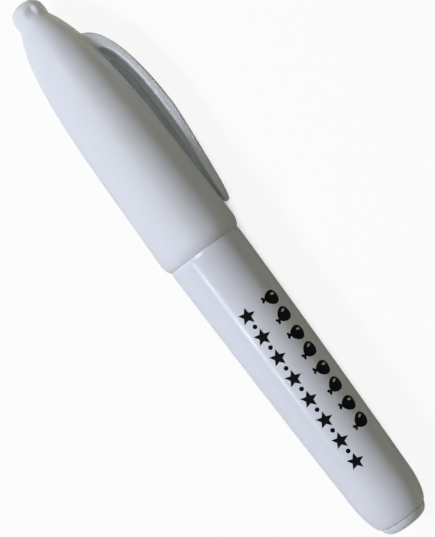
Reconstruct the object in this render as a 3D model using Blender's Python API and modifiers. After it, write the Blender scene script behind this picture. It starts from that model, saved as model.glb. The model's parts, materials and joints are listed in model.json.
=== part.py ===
"""Balloon marker: a short white valve-action marker with a snap-on cap.

The marker lies along X with its nib towards +X, rolled until its clip rests on the table.
The origin is the centre of the flat tail face. Sizes are in metres.
Every turned piece is drawn as a profile of (radius, station) pairs. Stations run along the
marker's axis towards the nib, and the outer side is listed from front to back.
"""

from math import asin, atan2, cos, hypot, pi, radians, sin, sqrt

import bmesh
import bpy
import numpy as np
from mathutils import Vector
from mathutils.geometry import interpolate_bezier

MM = 0.001

# Clearances
FIT = 0.3 * MM  # between pieces that are pressed or seated together
SLIDE = 0.3 * MM  # around pieces that slide in or over each other
INK_GAP = 0.4 * MM  # between the stem and the rim of the valve seat

# Barrel
BARREL_LENGTH = 50.3 * MM
BARREL_RADIUS = 6.4 * MM  # at the shoulder under the cap
BARREL_TAIL_RADIUS = 5.47 * MM  # where the tail begins to round
BARREL_BULGE = 0.1 * MM  # how far the side swells past a straight taper
BARREL_WALL = 1.25 * MM
SHOULDER_ROUND = 0.6 * MM
TAIL_ROUND_LENGTH = 5.6 * MM
TAIL_RIM_RADIUS = 4.4 * MM
TAIL_ROUND_ANGLE = radians(63)

# Tail plug
PLUG_HEAD = 1.6 * MM  # how far the head stands out of the barrel
PLUG_INSET = 0.2 * MM  # step from the barrel's rim to the head
PLUG_ROUND = 1.2 * MM
PLUG_SKIRT_RADIUS = 2.8 * MM
PLUG_SKIRT_LENGTH = 4.3 * MM
PLUG_SKIRT_WALL = 0.9 * MM
PLUG_FLOOR = 2.0 * MM

# Nib holder
HOLDER_PLUG_LENGTH = 10.0 * MM  # pressed into the barrel
HOLDER_WALL = 1.25 * MM
NECK_STEP = 0.3 * MM  # stop that seats on the end of the barrel
NECK_LENGTH = 7.0 * MM
RIDGE_STATION = 3.5 * MM  # snap ridge for the cap
RIDGE_HEIGHT = 0.15 * MM
RIDGE_WIDTH = 0.9 * MM
CONE_STEP = 0.55 * MM
CONE_LENGTH = 6.0 * MM
LAND_RADIUS = 3.7 * MM  # the inner cap seals here
LAND_LENGTH = 4.0 * MM
NOSE_LENGTH = 6.0 * MM
NOSE_WALL = 0.6 * MM
BEAD_STATIONS = (-3.0 * MM, -6.5 * MM)  # sealing beads on the pressed length
POCKET_DEPTH = 6.1 * MM  # from the stop to the step that the valve seat rests on

# Nib
NIB_RADIUS = 1.9 * MM
NIB_LENGTH = 18.3 * MM
NIB_TIP = 3.2 * MM
NIB_CHAMFER = 0.3 * MM
NIB_STANDOFF = 4.1 * MM  # free space behind the nib, to the same step

# Valve
SEAT_THICKNESS = 1.7 * MM
STEM_RADIUS = 1.0 * MM
STEM_TAIL_RADIUS = 0.65 * MM
STEM_TAIL_OUT = 0.5 * MM  # how far the tail stands out behind the cage
HEAD_RADIUS = 2.1 * MM
HEAD_LENGTH = 1.0 * MM
CAGE_LENGTH = 9.8 * MM
CAGE_WALL = 0.6 * MM
CAGE_FLOOR = 1.0 * MM
PORT_RADIUS = 0.5 * MM
PORT_COUNT = 3
SPRING_WIRE = 0.2 * MM  # wire radius
SPRING_PLAY = 0.6 * MM  # between the coil and the stem's tail
SPRING_TURNS = 6
BALL_RADIUS = 2.75 * MM

# Cap
CAP_LENGTH = 47.5 * MM
CAP_LIP = 1.17 * MM  # wall at the mouth
CAP_WALL = 1.25 * MM
CAP_TAPER = 0.5 * MM  # radius lost from the mouth to the nose
LIP_ROUND_LENGTH = 2.0 * MM
LIP_ROUND_DEPTH = 0.75 * MM
LIP_ROUND_ANGLE = radians(41)
BORE_RUNOUT = 2.0 * MM  # mouth bore past the neck
CAP_NOSE_STATION = 22.2 * MM  # where the nose begins, from the mouth
NOSE_BODY_PULL = 8.0 * MM  # length of the nose curve's handle at the body
NOSE_BODY_DROP = 0.42 * MM
NOSE_FRONT_PULL = 5.0 * MM  # length of its handle at the knob
NOSE_FRONT_RISE = 2.95 * MM
KNOB_LENGTH = 3.4 * MM
KNOB_RADIUS = 2.66 * MM
KNOB_NECK = 0.08 * MM  # depth of the waist behind the knob
KNOB_ROUND = 1.0 * MM

# Inner cap
INNER_WALL = 0.9 * MM
INNER_SEAL_LENGTH = 2.5 * MM  # length that covers the land
NIB_HEADROOM = 8.6 * MM  # from the nib's tip to the closed end
HOLLOW_RELIEF = 0.7 * MM  # past the inner cap's closed end

# Clip
CLIP_WIDTH = 5.5 * MM
CLIP_EDGE = 0.35 * MM
CLIP_GAP = 1.62 * MM  # between clip and cap at the crest
CLIP_THICKNESS = 1.78 * MM  # at the crest
CLIP_TIP_GAP = 0.3 * MM
CLIP_TIP_THICKNESS = 0.9 * MM
CLIP_PLAN_ROUND = 4.0 * MM  # length over which the free end narrows
CLIP_TIP_STATION = 4.0 * MM  # stations from the cap's mouth
CLIP_CREST_STATION = 20.9 * MM
CLIP_ROOT_STATION = 38.8 * MM
CLIP_ROOT_LENGTH = 3.0 * MM
CLIP_BURY = 1.6 * MM  # how deep the root runs into the nose
CLIP_ROOT_DROP = 0.8 * MM  # from the crest to the outer curve's handle at the root
CLIP_ROOT_PULL = 6.3 * MM  # length of the crest's handles towards the root
CLIP_FALL_PULL = 1.5 * MM  # length of the outer curve's handle towards the free end
CLIP_TIP_PULL = 3.0 * MM  # length of its handle at the free end
CLIP_TIP_RISE = 0.5 * MM
CLIP_INNER_PULL = 6.0 * MM  # length of the inner curve's handles along the free length
CLIP_CROTCH_DROP = 1.0 * MM  # from the crest to the inner curve's handle at the root
CLIP_CROTCH_PULL = 1.25 * MM

# Mesh fineness
LARGE_TURN_STEPS = 40
MIDDLE_TURN_STEPS = 32
SMALL_TURN_STEPS = 24
CURVE_STEPS = 8
ROUND_STEPS = 4
COIL_STEPS = 12
MERGE = 0.000001

# Stations along the axis, from the tail face
BARREL_STATION = PLUG_HEAD + FIT
SHOULDER_STATION = BARREL_STATION + BARREL_LENGTH
MOUTH_STATION = SHOULDER_STATION + FIT  # the cap's mouth and the nib holder's stop
LAND_STATION = NECK_LENGTH + CONE_LENGTH  # from the stop, as the four below
HOLDER_FRONT = LAND_STATION + LAND_LENGTH + NOSE_LENGTH
NIB_STATION = POCKET_DEPTH + NIB_STANDOFF
SEAT_STATION = POCKET_DEPTH - FIT - SEAT_THICKNESS
CAGE_STATION = SEAT_STATION - FIT - CAGE_LENGTH

# Radii that follow from the sizes above
BORE_RADIUS = BARREL_RADIUS - BARREL_WALL
CHAMBER_RADIUS = BARREL_TAIL_RADIUS - BARREL_WALL
THROAT_RADIUS = PLUG_SKIRT_RADIUS + FIT
HOLDER_PLUG_RADIUS = BORE_RADIUS - FIT
POCKET_RADIUS = HOLDER_PLUG_RADIUS - HOLDER_WALL
NECK_RADIUS = BORE_RADIUS + NECK_STEP
NIB_BORE_RADIUS = NIB_RADIUS + SLIDE
CAGE_RADIUS = POCKET_RADIUS - FIT
CAGE_BORE_RADIUS = CAGE_RADIUS - CAGE_WALL
GUIDE_RADIUS = STEM_TAIL_RADIUS + SLIDE
CAP_BORE_RADIUS = NECK_RADIUS + SLIDE
CAP_RADIUS = CAP_BORE_RADIUS + CAP_LIP
SPRING_RADIUS = STEM_TAIL_RADIUS + SPRING_PLAY + SPRING_WIRE

# The chamber's cone, from the tail end to the nib holder's socket
CHAMBER_START = PLUG_SKIRT_LENGTH + CHAMBER_RADIUS - THROAT_RADIUS
CHAMBER_END = BARREL_LENGTH - HOLDER_PLUG_LENGTH
CHAMBER_SLOPE = (BORE_RADIUS - CHAMBER_RADIUS) / (CHAMBER_END - CHAMBER_START)


def rounded(start, end, angle, steps=ROUND_STEPS):
    """Points of an elliptic arc that leaves start along the axis and reaches end after angle."""
    turn = np.linspace(0.0, angle, steps + 1)
    along = np.sin(turn) / sin(angle)
    across = (1.0 - np.cos(turn)) / (1.0 - cos(angle))
    radii = start[0] + (end[0] - start[0]) * across
    stations = start[1] + (end[1] - start[1]) * along
    return list(zip(radii.tolist(), stations.tolist()))


def bezier(start, start_handle, end_handle, end, steps=CURVE_STEPS):
    """Points of a cubic curve with both ends, as pairs."""
    knots = [Vector((*point, 0.0)) for point in (start, start_handle, end_handle, end)]
    return [(point.x, point.y) for point in interpolate_bezier(*knots, steps + 1)]


def ridge(radius, station, height, width):
    """Points of a half-round ring on a cylinder, from its front edge to its rear edge."""
    turn = np.linspace(0.0, pi, ROUND_STEPS + 1)
    return [(radius + height * sin(a), station + width / 2 * cos(a)) for a in turn]


def radius_at(profile, station):
    """Radius of a profile, listed from front to back, at a station."""
    radii, stations = zip(*reversed(profile))
    return float(np.interp(station, stations, radii))


def material(name, colour, roughness, metallic=0.0):
    """A plain Principled material."""
    made = bpy.data.materials.new(name)
    made.use_nodes = True
    shader = made.node_tree.nodes["Principled BSDF"]
    shader.inputs["Base Color"].default_value = (*colour, 1.0)
    shader.inputs["Roughness"].default_value = roughness
    shader.inputs["Metallic"].default_value = metallic
    made.diffuse_color = (*colour, 1.0)
    return made


def place(obj, parent, station, collection):
    """Puts an object into its collection, on the marker's axis at a station of its parent."""
    collection.objects.link(obj)
    obj.parent = parent
    obj.location = (0.0, 0.0, station)
    return obj


def turned(name, profile, turn_steps, closed=False):
    """A profile swept once around Z. It starts half a step off X, so a flat facet faces along X."""
    count = len(profile)
    start = pi / turn_steps
    edges = [(i, i + 1) for i in range(count - 1)]
    if closed:
        edges.append((count - 1, 0))
    mesh = bpy.data.meshes.new(name)
    mesh.from_pydata(
        [(radius * cos(start), radius * sin(start), station) for radius, station in profile], edges, []
    )
    obj = bpy.data.objects.new(name, mesh)
    screw = obj.modifiers.new("Turn", "SCREW")
    screw.axis = "Z"
    screw.angle = 2 * pi
    screw.steps = turn_steps
    screw.render_steps = turn_steps
    screw.use_merge_vertices = True
    screw.merge_threshold = MERGE
    screw.use_smooth_shade = True
    return obj


def boolean(obj, operation, other):
    """Adds an exact Boolean of another object to this one."""
    cut = obj.modifiers.new(operation.title(), "BOOLEAN")
    cut.operation = operation
    cut.object = other
    cut.solver = "EXACT"


def as_guide(obj):
    """Marks an object as a cutter, which isn't one of the pieces."""
    obj.hide_render = True
    obj.display_type = "WIRE"
    return obj


def extruded(name, outline, half_thickness, edge=0.0):
    """A closed outline made a plate with rounded edges, as a welded mesh object."""
    curve = bpy.data.curves.new(name + "_outline", "CURVE")
    curve.dimensions = "2D"
    curve.fill_mode = "BOTH"
    curve.extrude = half_thickness - edge
    curve.bevel_depth = edge
    curve.bevel_resolution = 1
    curve.offset = -edge
    spline = curve.splines.new("POLY")
    spline.points.add(len(outline) - 1)
    for point, (across, along) in zip(spline.points, outline):
        point.co = (across, along, 0.0, 1.0)
    spline.use_cyclic_u = True
    source = bpy.data.objects.new(name + "_outline", curve)
    bpy.context.scene.collection.objects.link(source)
    graph = bpy.context.evaluated_depsgraph_get()
    mesh = bpy.data.meshes.new_from_object(source.evaluated_get(graph), depsgraph=graph)
    mesh.name = name
    bpy.data.objects.remove(source)
    bpy.data.curves.remove(curve)
    welded = bmesh.new()
    welded.from_mesh(mesh)
    bmesh.ops.remove_doubles(welded, verts=welded.verts, dist=MERGE)
    bmesh.ops.recalc_face_normals(welded, faces=welded.faces)
    welded.to_mesh(mesh)
    welded.free()
    return bpy.data.objects.new(name, mesh)


def tail_plug():
    """Cup-shaped plug with a flat end face and a rounded head."""
    head_radius = TAIL_RIM_RADIUS - PLUG_INSET
    cup_radius = PLUG_SKIRT_RADIUS - PLUG_SKIRT_WALL
    skirt_end = PLUG_HEAD + PLUG_SKIRT_LENGTH
    profile = [
        (0.0, PLUG_FLOOR),
        (cup_radius, PLUG_FLOOR),
        (cup_radius, skirt_end),
        (PLUG_SKIRT_RADIUS, skirt_end),
        (PLUG_SKIRT_RADIUS, PLUG_HEAD),
        (head_radius, PLUG_HEAD),
    ]
    profile += rounded((head_radius, PLUG_ROUND), (head_radius - PLUG_ROUND, 0.0), pi / 2)
    profile.append((0.0, 0.0))
    return turned("tail_plug", profile, MIDDLE_TURN_STEPS)


def barrel():
    """Barrelled tube with a rounded shoulder, a rounded tail and a conical ink chamber."""
    front = BARREL_LENGTH - SHOULDER_ROUND
    shoulder = rounded((BARREL_RADIUS, front), (BARREL_RADIUS - SHOULDER_ROUND, BARREL_LENGTH), pi / 2)
    share = np.linspace(0.0, 1.0, CURVE_STEPS + 1)[1:-1]
    radii = BARREL_RADIUS + (BARREL_TAIL_RADIUS - BARREL_RADIUS) * share
    radii += BARREL_BULGE * 4 * share * (1 - share)
    stations = front + (TAIL_ROUND_LENGTH - front) * share
    profile = [(BORE_RADIUS, BARREL_LENGTH)]
    profile += reversed(shoulder)
    profile += zip(radii.tolist(), stations.tolist())
    profile += rounded(
        (BARREL_TAIL_RADIUS, TAIL_ROUND_LENGTH), (TAIL_RIM_RADIUS, 0.0), TAIL_ROUND_ANGLE, CURVE_STEPS
    )
    profile += [
        (THROAT_RADIUS, 0.0),
        (THROAT_RADIUS, PLUG_SKIRT_LENGTH),
        (CHAMBER_RADIUS, CHAMBER_START),
        (BORE_RADIUS, CHAMBER_END),
    ]
    return turned("barrel", profile, LARGE_TURN_STEPS, closed=True)


def nib_holder():
    """Front section: nose, seal land, cone, neck with its snap ridge, and the pressed length."""
    nose_radius = NIB_BORE_RADIUS + NOSE_WALL
    profile = [
        (NIB_BORE_RADIUS, HOLDER_FRONT),
        (nose_radius, HOLDER_FRONT),
        (LAND_RADIUS, LAND_STATION + LAND_LENGTH),
        (LAND_RADIUS, LAND_STATION),
        (NECK_RADIUS - CONE_STEP, NECK_LENGTH),
        (NECK_RADIUS, NECK_LENGTH - CONE_STEP),
    ]
    profile += ridge(NECK_RADIUS, RIDGE_STATION, RIDGE_HEIGHT, RIDGE_WIDTH)
    profile += [(NECK_RADIUS, 0.0), (HOLDER_PLUG_RADIUS, 0.0)]
    for station in BEAD_STATIONS:
        profile += ridge(HOLDER_PLUG_RADIUS, station, FIT / 2, RIDGE_WIDTH)
    profile += [
        (HOLDER_PLUG_RADIUS, -HOLDER_PLUG_LENGTH),
        (POCKET_RADIUS, -HOLDER_PLUG_LENGTH),
        (POCKET_RADIUS, POCKET_DEPTH),
        (NIB_BORE_RADIUS, POCKET_DEPTH),
    ]
    return turned("nib_holder", profile, MIDDLE_TURN_STEPS, closed=True)


def nib():
    """Fibre rod with a bullet tip and a chamfered rear end."""
    tip = rounded((NIB_RADIUS, NIB_LENGTH - NIB_TIP), (0.0, NIB_LENGTH), pi / 2, CURVE_STEPS)
    profile = list(reversed(tip))
    profile += [(NIB_RADIUS, NIB_CHAMFER), (NIB_RADIUS - NIB_CHAMFER, 0.0), (0.0, 0.0)]
    return turned("nib", profile, SMALL_TURN_STEPS)


def valve_seat():
    """Rubber washer that the stem's cone closes."""
    outer = POCKET_RADIUS - FIT
    inner = STEM_RADIUS + INK_GAP
    profile = [(inner, SEAT_THICKNESS), (outer, SEAT_THICKNESS), (outer, 0.0), (inner, 0.0)]
    return turned("valve_seat", profile, SMALL_TURN_STEPS, closed=True)


def valve_stem():
    """Plunger with a conical head. Its station zero is the cone's small end, at the seat."""
    head_front = STEM_RADIUS - HEAD_RADIUS
    head_back = head_front - HEAD_LENGTH
    tail_end = CAGE_STATION - STEM_TAIL_OUT - SEAT_STATION
    stem_end = NIB_STATION - FIT - SEAT_STATION
    profile = [
        (0.0, stem_end),
        (STEM_RADIUS, stem_end),
        (STEM_RADIUS, 0.0),
        (HEAD_RADIUS, head_front),
        (HEAD_RADIUS, head_back),
        (STEM_TAIL_RADIUS, head_back),
        (STEM_TAIL_RADIUS, tail_end),
        (0.0, tail_end),
    ]
    return turned("valve_stem", profile, SMALL_TURN_STEPS)


def valve_cage(cutters):
    """Cup with a guide hole and ink ports through its floor."""
    profile = [
        (CAGE_BORE_RADIUS, CAGE_LENGTH),
        (CAGE_RADIUS, CAGE_LENGTH),
        (CAGE_RADIUS, 0.0),
        (GUIDE_RADIUS, 0.0),
        (GUIDE_RADIUS, CAGE_FLOOR),
        (CAGE_BORE_RADIUS, CAGE_FLOOR),
    ]
    cage = turned("valve_cage", profile, SMALL_TURN_STEPS, closed=True)
    circle = (GUIDE_RADIUS + CAGE_BORE_RADIUS) / 2
    for index in range(PORT_COUNT):
        turn = 2 * pi * index / PORT_COUNT
        mesh = bpy.data.meshes.new("ink_port")
        drill = bmesh.new()
        bmesh.ops.create_cone(
            drill,
            cap_ends=True,
            segments=SMALL_TURN_STEPS // 2,
            radius1=PORT_RADIUS,
            radius2=PORT_RADIUS,
            depth=CAGE_FLOOR * 2,
        )
        drill.to_mesh(mesh)
        drill.free()
        port = as_guide(bpy.data.objects.new("ink_port", mesh))
        cutters.objects.link(port)
        port.parent = cage
        port.location = (circle * cos(turn), circle * sin(turn), CAGE_FLOOR / 2)
        boolean(cage, "DIFFERENCE", port)
    return cage


def valve_spring():
    """Coil between the cage's floor and the stem's head. Its station zero is the cage's rear face."""
    head_back = SEAT_STATION + STEM_RADIUS - HEAD_RADIUS - HEAD_LENGTH - CAGE_STATION
    start = CAGE_FLOOR + FIT + SPRING_WIRE
    end = head_back - FIT - SPRING_WIRE
    turn = np.linspace(0.0, 2 * pi * SPRING_TURNS, SPRING_TURNS * COIL_STEPS + 1)
    stations = np.linspace(start, end, len(turn))
    curve = bpy.data.curves.new("valve_spring", "CURVE")
    curve.dimensions = "3D"
    curve.bevel_depth = SPRING_WIRE
    curve.bevel_resolution = 2
    curve.use_fill_caps = True
    spline = curve.splines.new("POLY")
    spline.points.add(len(turn) - 1)
    for point, angle, station in zip(spline.points, turn.tolist(), stations.tolist()):
        point.co = (SPRING_RADIUS * cos(angle), SPRING_RADIUS * sin(angle), station, 1.0)
    return bpy.data.objects.new("valve_spring", curve)


def mixing_ball():
    """Loose steel ball."""
    mesh = bpy.data.meshes.new("mixing_ball")
    ball = bmesh.new()
    bmesh.ops.create_uvsphere(
        ball, u_segments=SMALL_TURN_STEPS, v_segments=SMALL_TURN_STEPS // 2, radius=BALL_RADIUS
    )
    ball.to_mesh(mesh)
    ball.free()
    mesh.shade_smooth()
    return bpy.data.objects.new("mixing_ball", mesh)


def ball_place():
    """Where the ball lies: at the plug's end, just off the lower side of the chamber's cone."""
    station = PLUG_HEAD + PLUG_SKIRT_LENGTH + FIT + BALL_RADIUS
    wall = CHAMBER_RADIUS + CHAMBER_SLOPE * (station - BARREL_STATION - CHAMBER_START)
    lowered = wall - (BALL_RADIUS + FIT) * sqrt(1 + CHAMBER_SLOPE**2)
    return (lowered, 0.0, station)


def cap_side():
    """Outer side of the cap, from the front of the knob to the mouth."""
    neck_station = CAP_LENGTH - KNOB_LENGTH
    neck_radius = KNOB_RADIUS - KNOB_NECK
    body_radius = CAP_RADIUS - CAP_TAPER
    knob = rounded(
        (KNOB_RADIUS, CAP_LENGTH - KNOB_ROUND), (KNOB_RADIUS - KNOB_ROUND, CAP_LENGTH), pi / 2
    )
    side = list(reversed(knob))
    side += bezier(
        (neck_radius, neck_station),
        (neck_radius + NOSE_FRONT_RISE, neck_station - NOSE_FRONT_PULL),
        (body_radius - NOSE_BODY_DROP, CAP_NOSE_STATION + NOSE_BODY_PULL),
        (body_radius, CAP_NOSE_STATION),
        CURVE_STEPS * 2,
    )
    side += rounded(
        (CAP_RADIUS, LIP_ROUND_LENGTH), (CAP_RADIUS - LIP_ROUND_DEPTH, 0.0), LIP_ROUND_ANGLE
    )
    return side


def inner_stations():
    """Mouth and closed end of the inner cap, from the cap's mouth."""
    mouth = LAND_STATION + LAND_LENGTH - INNER_SEAL_LENGTH
    end = NIB_STATION + NIB_LENGTH + NIB_HEADROOM + INNER_WALL
    return mouth, end


def cap_hollow(side):
    """Cutter for the cap's inside: the mouth bore, then the outer side less the wall."""
    bore_end = NECK_LENGTH + BORE_RUNOUT
    hollow_end = inner_stations()[1] + HOLLOW_RELIEF
    stations = np.linspace(hollow_end, bore_end, CURVE_STEPS * 2).tolist()
    profile = [(0.0, hollow_end)]
    profile += [(radius_at(side, station) - CAP_WALL, station) for station in stations]
    profile += [(CAP_BORE_RADIUS, bore_end), (CAP_BORE_RADIUS, -CAP_LIP), (0.0, -CAP_LIP)]
    return turned("cap_hollow", profile, LARGE_TURN_STEPS)


def clip_outline(side):
    """Side view of the clip, as (height above the axis, station) pairs."""
    crest_inner = radius_at(side, CLIP_CREST_STATION) + CLIP_GAP
    crest_outer = crest_inner + CLIP_THICKNESS
    tip_inner = radius_at(side, CLIP_TIP_STATION) + CLIP_TIP_GAP
    tip_outer = tip_inner + CLIP_TIP_THICKNESS
    tip_round = CLIP_TIP_THICKNESS / 2
    tip_start = CLIP_TIP_STATION + tip_round
    tip = (tip_inner + tip_round, CLIP_TIP_STATION)
    crotch = CLIP_ROOT_STATION - CLIP_ROOT_LENGTH
    root_low = radius_at(side, CLIP_ROOT_STATION) - CLIP_BURY
    outline = bezier(
        (root_low, CLIP_ROOT_STATION),
        (crest_outer - CLIP_ROOT_DROP, CLIP_ROOT_STATION),
        (crest_outer, CLIP_CREST_STATION + CLIP_ROOT_PULL),
        (crest_outer, CLIP_CREST_STATION),
    )
    outline += bezier(
        (crest_outer, CLIP_CREST_STATION),
        (crest_outer, CLIP_CREST_STATION - CLIP_FALL_PULL),
        (tip_outer + CLIP_TIP_RISE, tip_start + CLIP_TIP_PULL),
        (tip_outer, tip_start),
    )[1:]
    outline += rounded((tip_outer, tip_start), tip, pi / 2)[1:]
    outline += reversed(rounded((tip_inner, tip_start), tip, pi / 2)[:-1])
    outline += bezier(
        (tip_inner, tip_start),
        (tip_inner, tip_start + CLIP_INNER_PULL),
        (crest_inner, CLIP_CREST_STATION - CLIP_INNER_PULL),
        (crest_inner, CLIP_CREST_STATION),
    )[1:]
    outline += bezier(
        (crest_inner, CLIP_CREST_STATION),
        (crest_inner, CLIP_CREST_STATION + CLIP_ROOT_PULL),
        (crest_inner - CLIP_CROTCH_DROP, crotch - CLIP_CROTCH_PULL),
        (root_low, crotch),
    )[1:]
    return outline


def clip_plan():
    """View onto the clip's back: straight sides clear of the clip and a rounded free end."""
    half_width = CLIP_WIDTH / 2 + CLIP_EDGE
    end = rounded(
        (half_width, CLIP_TIP_STATION + CLIP_PLAN_ROUND), (0.0, CLIP_TIP_STATION), pi / 2, CURVE_STEPS
    )
    front = CLIP_ROOT_STATION + CLIP_ROOT_LENGTH
    mirrored = [(-across, along) for across, along in reversed(end[:-1])]
    return [(half_width, front)] + end + mirrored + [(-half_width, front)]


def rest_roll(side):
    """How far the clip points below level when it and the cap's lip touch one table."""
    reach = radius_at(side, CLIP_CREST_STATION) + CLIP_GAP + CLIP_THICKNESS - CLIP_EDGE
    half_width = CLIP_WIDTH / 2 - CLIP_EDGE
    return asin((CAP_RADIUS - CLIP_EDGE) / hypot(reach, half_width)) - atan2(half_width, reach)


def cap(cutters):
    """Closed cap with a knob on its nose and the clip in one with it."""
    side = cap_side()
    roll = rest_roll(side)
    body = turned("cap", [(0.0, CAP_LENGTH)] + side + [(0.0, 0.0)], LARGE_TURN_STEPS)
    clip = extruded("clip", clip_outline(side), CLIP_WIDTH / 2, CLIP_EDGE)
    clip.rotation_euler = (pi / 2, 0.0, roll - pi / 2)
    plan = extruded("clip_plan", clip_plan(), CAP_LENGTH)
    plan.rotation_euler = (pi / 2, 0.0, roll)
    hollow = cap_hollow(side)
    for cutter in (clip, plan, hollow):
        cutters.objects.link(as_guide(cutter))
        cutter.parent = body
    boolean(clip, "INTERSECT", plan)
    boolean(body, "UNION", clip)
    boolean(body, "DIFFERENCE", hollow)
    return body


def inner_cap():
    """Liner that follows the cap's inside and closes on the nib holder's land."""
    side = cap_side()
    mouth, end = inner_stations()
    seal_radius = LAND_RADIUS + FIT
    seal_end = mouth + INNER_SEAL_LENGTH
    outer = [
        (radius_at(side, station) - CAP_WALL - FIT, station)
        for station in np.linspace(end, mouth, CURVE_STEPS + 1).tolist()
    ]
    inner = [
        (min(seal_radius, radius_at(outer, station) - INNER_WALL), station)
        for station in np.linspace(seal_end, end - INNER_WALL, CURVE_STEPS + 1).tolist()
    ]
    profile = [(0.0, end)] + outer + [(seal_radius, mouth)] + inner + [(0.0, end - INNER_WALL)]
    return turned("inner_cap", profile, MIDDLE_TURN_STEPS)


def main():
    for obj in list(bpy.data.objects):
        bpy.data.objects.remove(obj)
    pieces = bpy.data.collections.new("balloon_marker")
    cutters = bpy.data.collections.new("cutters")
    for collection in (pieces, cutters):
        bpy.context.scene.collection.children.link(collection)

    white_satin = material("satin white polypropylene", (0.80, 0.81, 0.84), 0.5)
    white_gloss = material("gloss white polypropylene", (0.80, 0.81, 0.84), 0.2)
    natural = material("natural polyethylene", (0.75, 0.75, 0.72), 0.45)
    fibre = material("bonded polyester fibre", (0.86, 0.86, 0.84), 0.9)
    rubber = material("black nitrile rubber", (0.03, 0.03, 0.03), 0.7)
    acetal = material("white acetal", (0.82, 0.82, 0.80), 0.35)
    steel = material("stainless steel", (0.62, 0.62, 0.63), 0.25, 1.0)

    axis = bpy.data.objects.new("marker_axis", None)
    pieces.objects.link(axis)
    axis.rotation_euler = (0.0, pi / 2, 0.0)

    plan = (
        (tail_plug(), white_gloss, 0.0),
        (barrel(), white_gloss, BARREL_STATION),
        (nib_holder(), white_gloss, MOUTH_STATION),
        (nib(), fibre, MOUTH_STATION + NIB_STATION),
        (valve_seat(), rubber, MOUTH_STATION + SEAT_STATION),
        (valve_stem(), acetal, MOUTH_STATION + SEAT_STATION),
        (valve_cage(cutters), acetal, MOUTH_STATION + CAGE_STATION),
        (valve_spring(), steel, MOUTH_STATION + CAGE_STATION),
        (mixing_ball(), steel, 0.0),
        (cap(cutters), white_satin, MOUTH_STATION),
        (inner_cap(), natural, MOUTH_STATION),
    )
    for obj, finish, station in plan:
        place(obj, axis, station, pieces)
        obj.data.materials.append(finish)
    bpy.data.objects["mixing_ball"].location = ball_place()


main()
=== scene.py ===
"""Looks of the balloon marker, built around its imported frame.

The marker lies on its side along X, with its tail face at the origin and the knob of its cap at +X.
Z is up from the table, and the clip points towards -Y and a little below level, where it rests on
the table. Sizes here are in millimetres, and a mesh is written in metres. Every new piece is a skin
through rings of points, worked out as whole arrays: a profile turned about the marker's axis, or a
cross-section carried along a path.
"""

from __future__ import annotations

import json
import logging
from dataclasses import dataclass
from enum import Enum
from math import cos, pi, radians, sin
from typing import Any, Sequence

import bpy
import numpy as np
from mathutils import Euler, Matrix, Vector

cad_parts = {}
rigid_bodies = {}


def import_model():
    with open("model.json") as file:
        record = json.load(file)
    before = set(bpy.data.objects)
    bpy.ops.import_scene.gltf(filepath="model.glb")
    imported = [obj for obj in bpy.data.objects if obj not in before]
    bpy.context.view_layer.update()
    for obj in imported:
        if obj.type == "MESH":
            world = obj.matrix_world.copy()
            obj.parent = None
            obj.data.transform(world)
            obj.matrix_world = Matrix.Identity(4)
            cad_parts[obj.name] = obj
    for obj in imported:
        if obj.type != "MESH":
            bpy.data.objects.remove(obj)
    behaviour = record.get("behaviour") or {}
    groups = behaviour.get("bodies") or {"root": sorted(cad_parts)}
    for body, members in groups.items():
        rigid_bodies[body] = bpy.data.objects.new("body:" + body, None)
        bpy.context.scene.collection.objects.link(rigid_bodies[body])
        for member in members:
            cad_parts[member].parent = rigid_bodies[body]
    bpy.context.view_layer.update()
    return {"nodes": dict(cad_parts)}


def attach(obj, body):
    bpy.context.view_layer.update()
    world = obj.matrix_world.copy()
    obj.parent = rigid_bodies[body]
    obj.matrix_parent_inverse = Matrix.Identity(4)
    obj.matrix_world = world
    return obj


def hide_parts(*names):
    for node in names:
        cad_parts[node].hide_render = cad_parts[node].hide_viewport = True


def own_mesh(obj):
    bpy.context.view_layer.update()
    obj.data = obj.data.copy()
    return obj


Array = np.ndarray
Pair = tuple[float, float]
Triple = tuple[float, float, float]
Material = bpy.types.Material
Node = bpy.types.Node
Object = bpy.types.Object
Socket = bpy.types.NodeSocket
Tree = bpy.types.NodeTree

LOG = logging.getLogger("balloon_marker")
MM = 0.001
# Steps of a full turn, for the outer pieces and for those under them.
FINE_TURN = 192
MIDDLE_TURN = 96
# Angle in degrees above which an edge stays sharp.
CREASE = 40.0
# Points nearer to each other than MERGE are one, and nothing is divided by less than TINY.
MERGE = 1e-6
TINY = 1e-9
# Where the flat beside a rounded corner gets its own point, as a multiple of the corner's reach.
FLAT_POINT = 1.25
# Numbers of a Mix node's two colour inputs and of its colour output.
MIX_FROM = 6
MIX_TO = 7
MIX_COLOUR = 2
WHITE = "#FFFFFF"


class Body(Enum):
    """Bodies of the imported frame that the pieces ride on."""

    BARREL = "barrel"
    CAP = "cap"
    NIB = "nib"
    BALL = "mixing_ball"


class Slot(Enum):
    """Finish slots of the record."""

    WHITE_GLOSS = "white_gloss"
    WHITE_SATIN = "white_satin"
    NATURAL = "natural"
    FIBRE = "fibre"
    RUBBER = "rubber"
    ACETAL = "acetal"
    STEEL = "steel"


class Round(float, Enum):
    """How far a rounded corner reaches along its two sides, in millimetres."""

    SHARP = 0.0
    CRISP = 0.1
    EASED = 0.15
    SOFT = 0.2
    BLUNT = 0.25
    ROUND = 0.3
    FULL = 0.4
    BROAD = 0.5


# Colour and nodes


def linear(code: str) -> tuple[float, float, float, float]:
    """Turns an sRGB hex colour into the linear colour that Blender's sockets take.

    Args:
        code: Six hex digits behind a hash sign.

    Returns:
        Linear red, green and blue, and an alpha of one.
    """
    share = np.frombuffer(bytes.fromhex(code.lstrip("#")), dtype=np.uint8) / 255.0
    tone = np.where(share <= 0.04045, share / 12.92, ((share + 0.055) / 1.055) ** 2.4)
    red, green, blue = tone.tolist()
    return red, green, blue, 1.0


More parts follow.
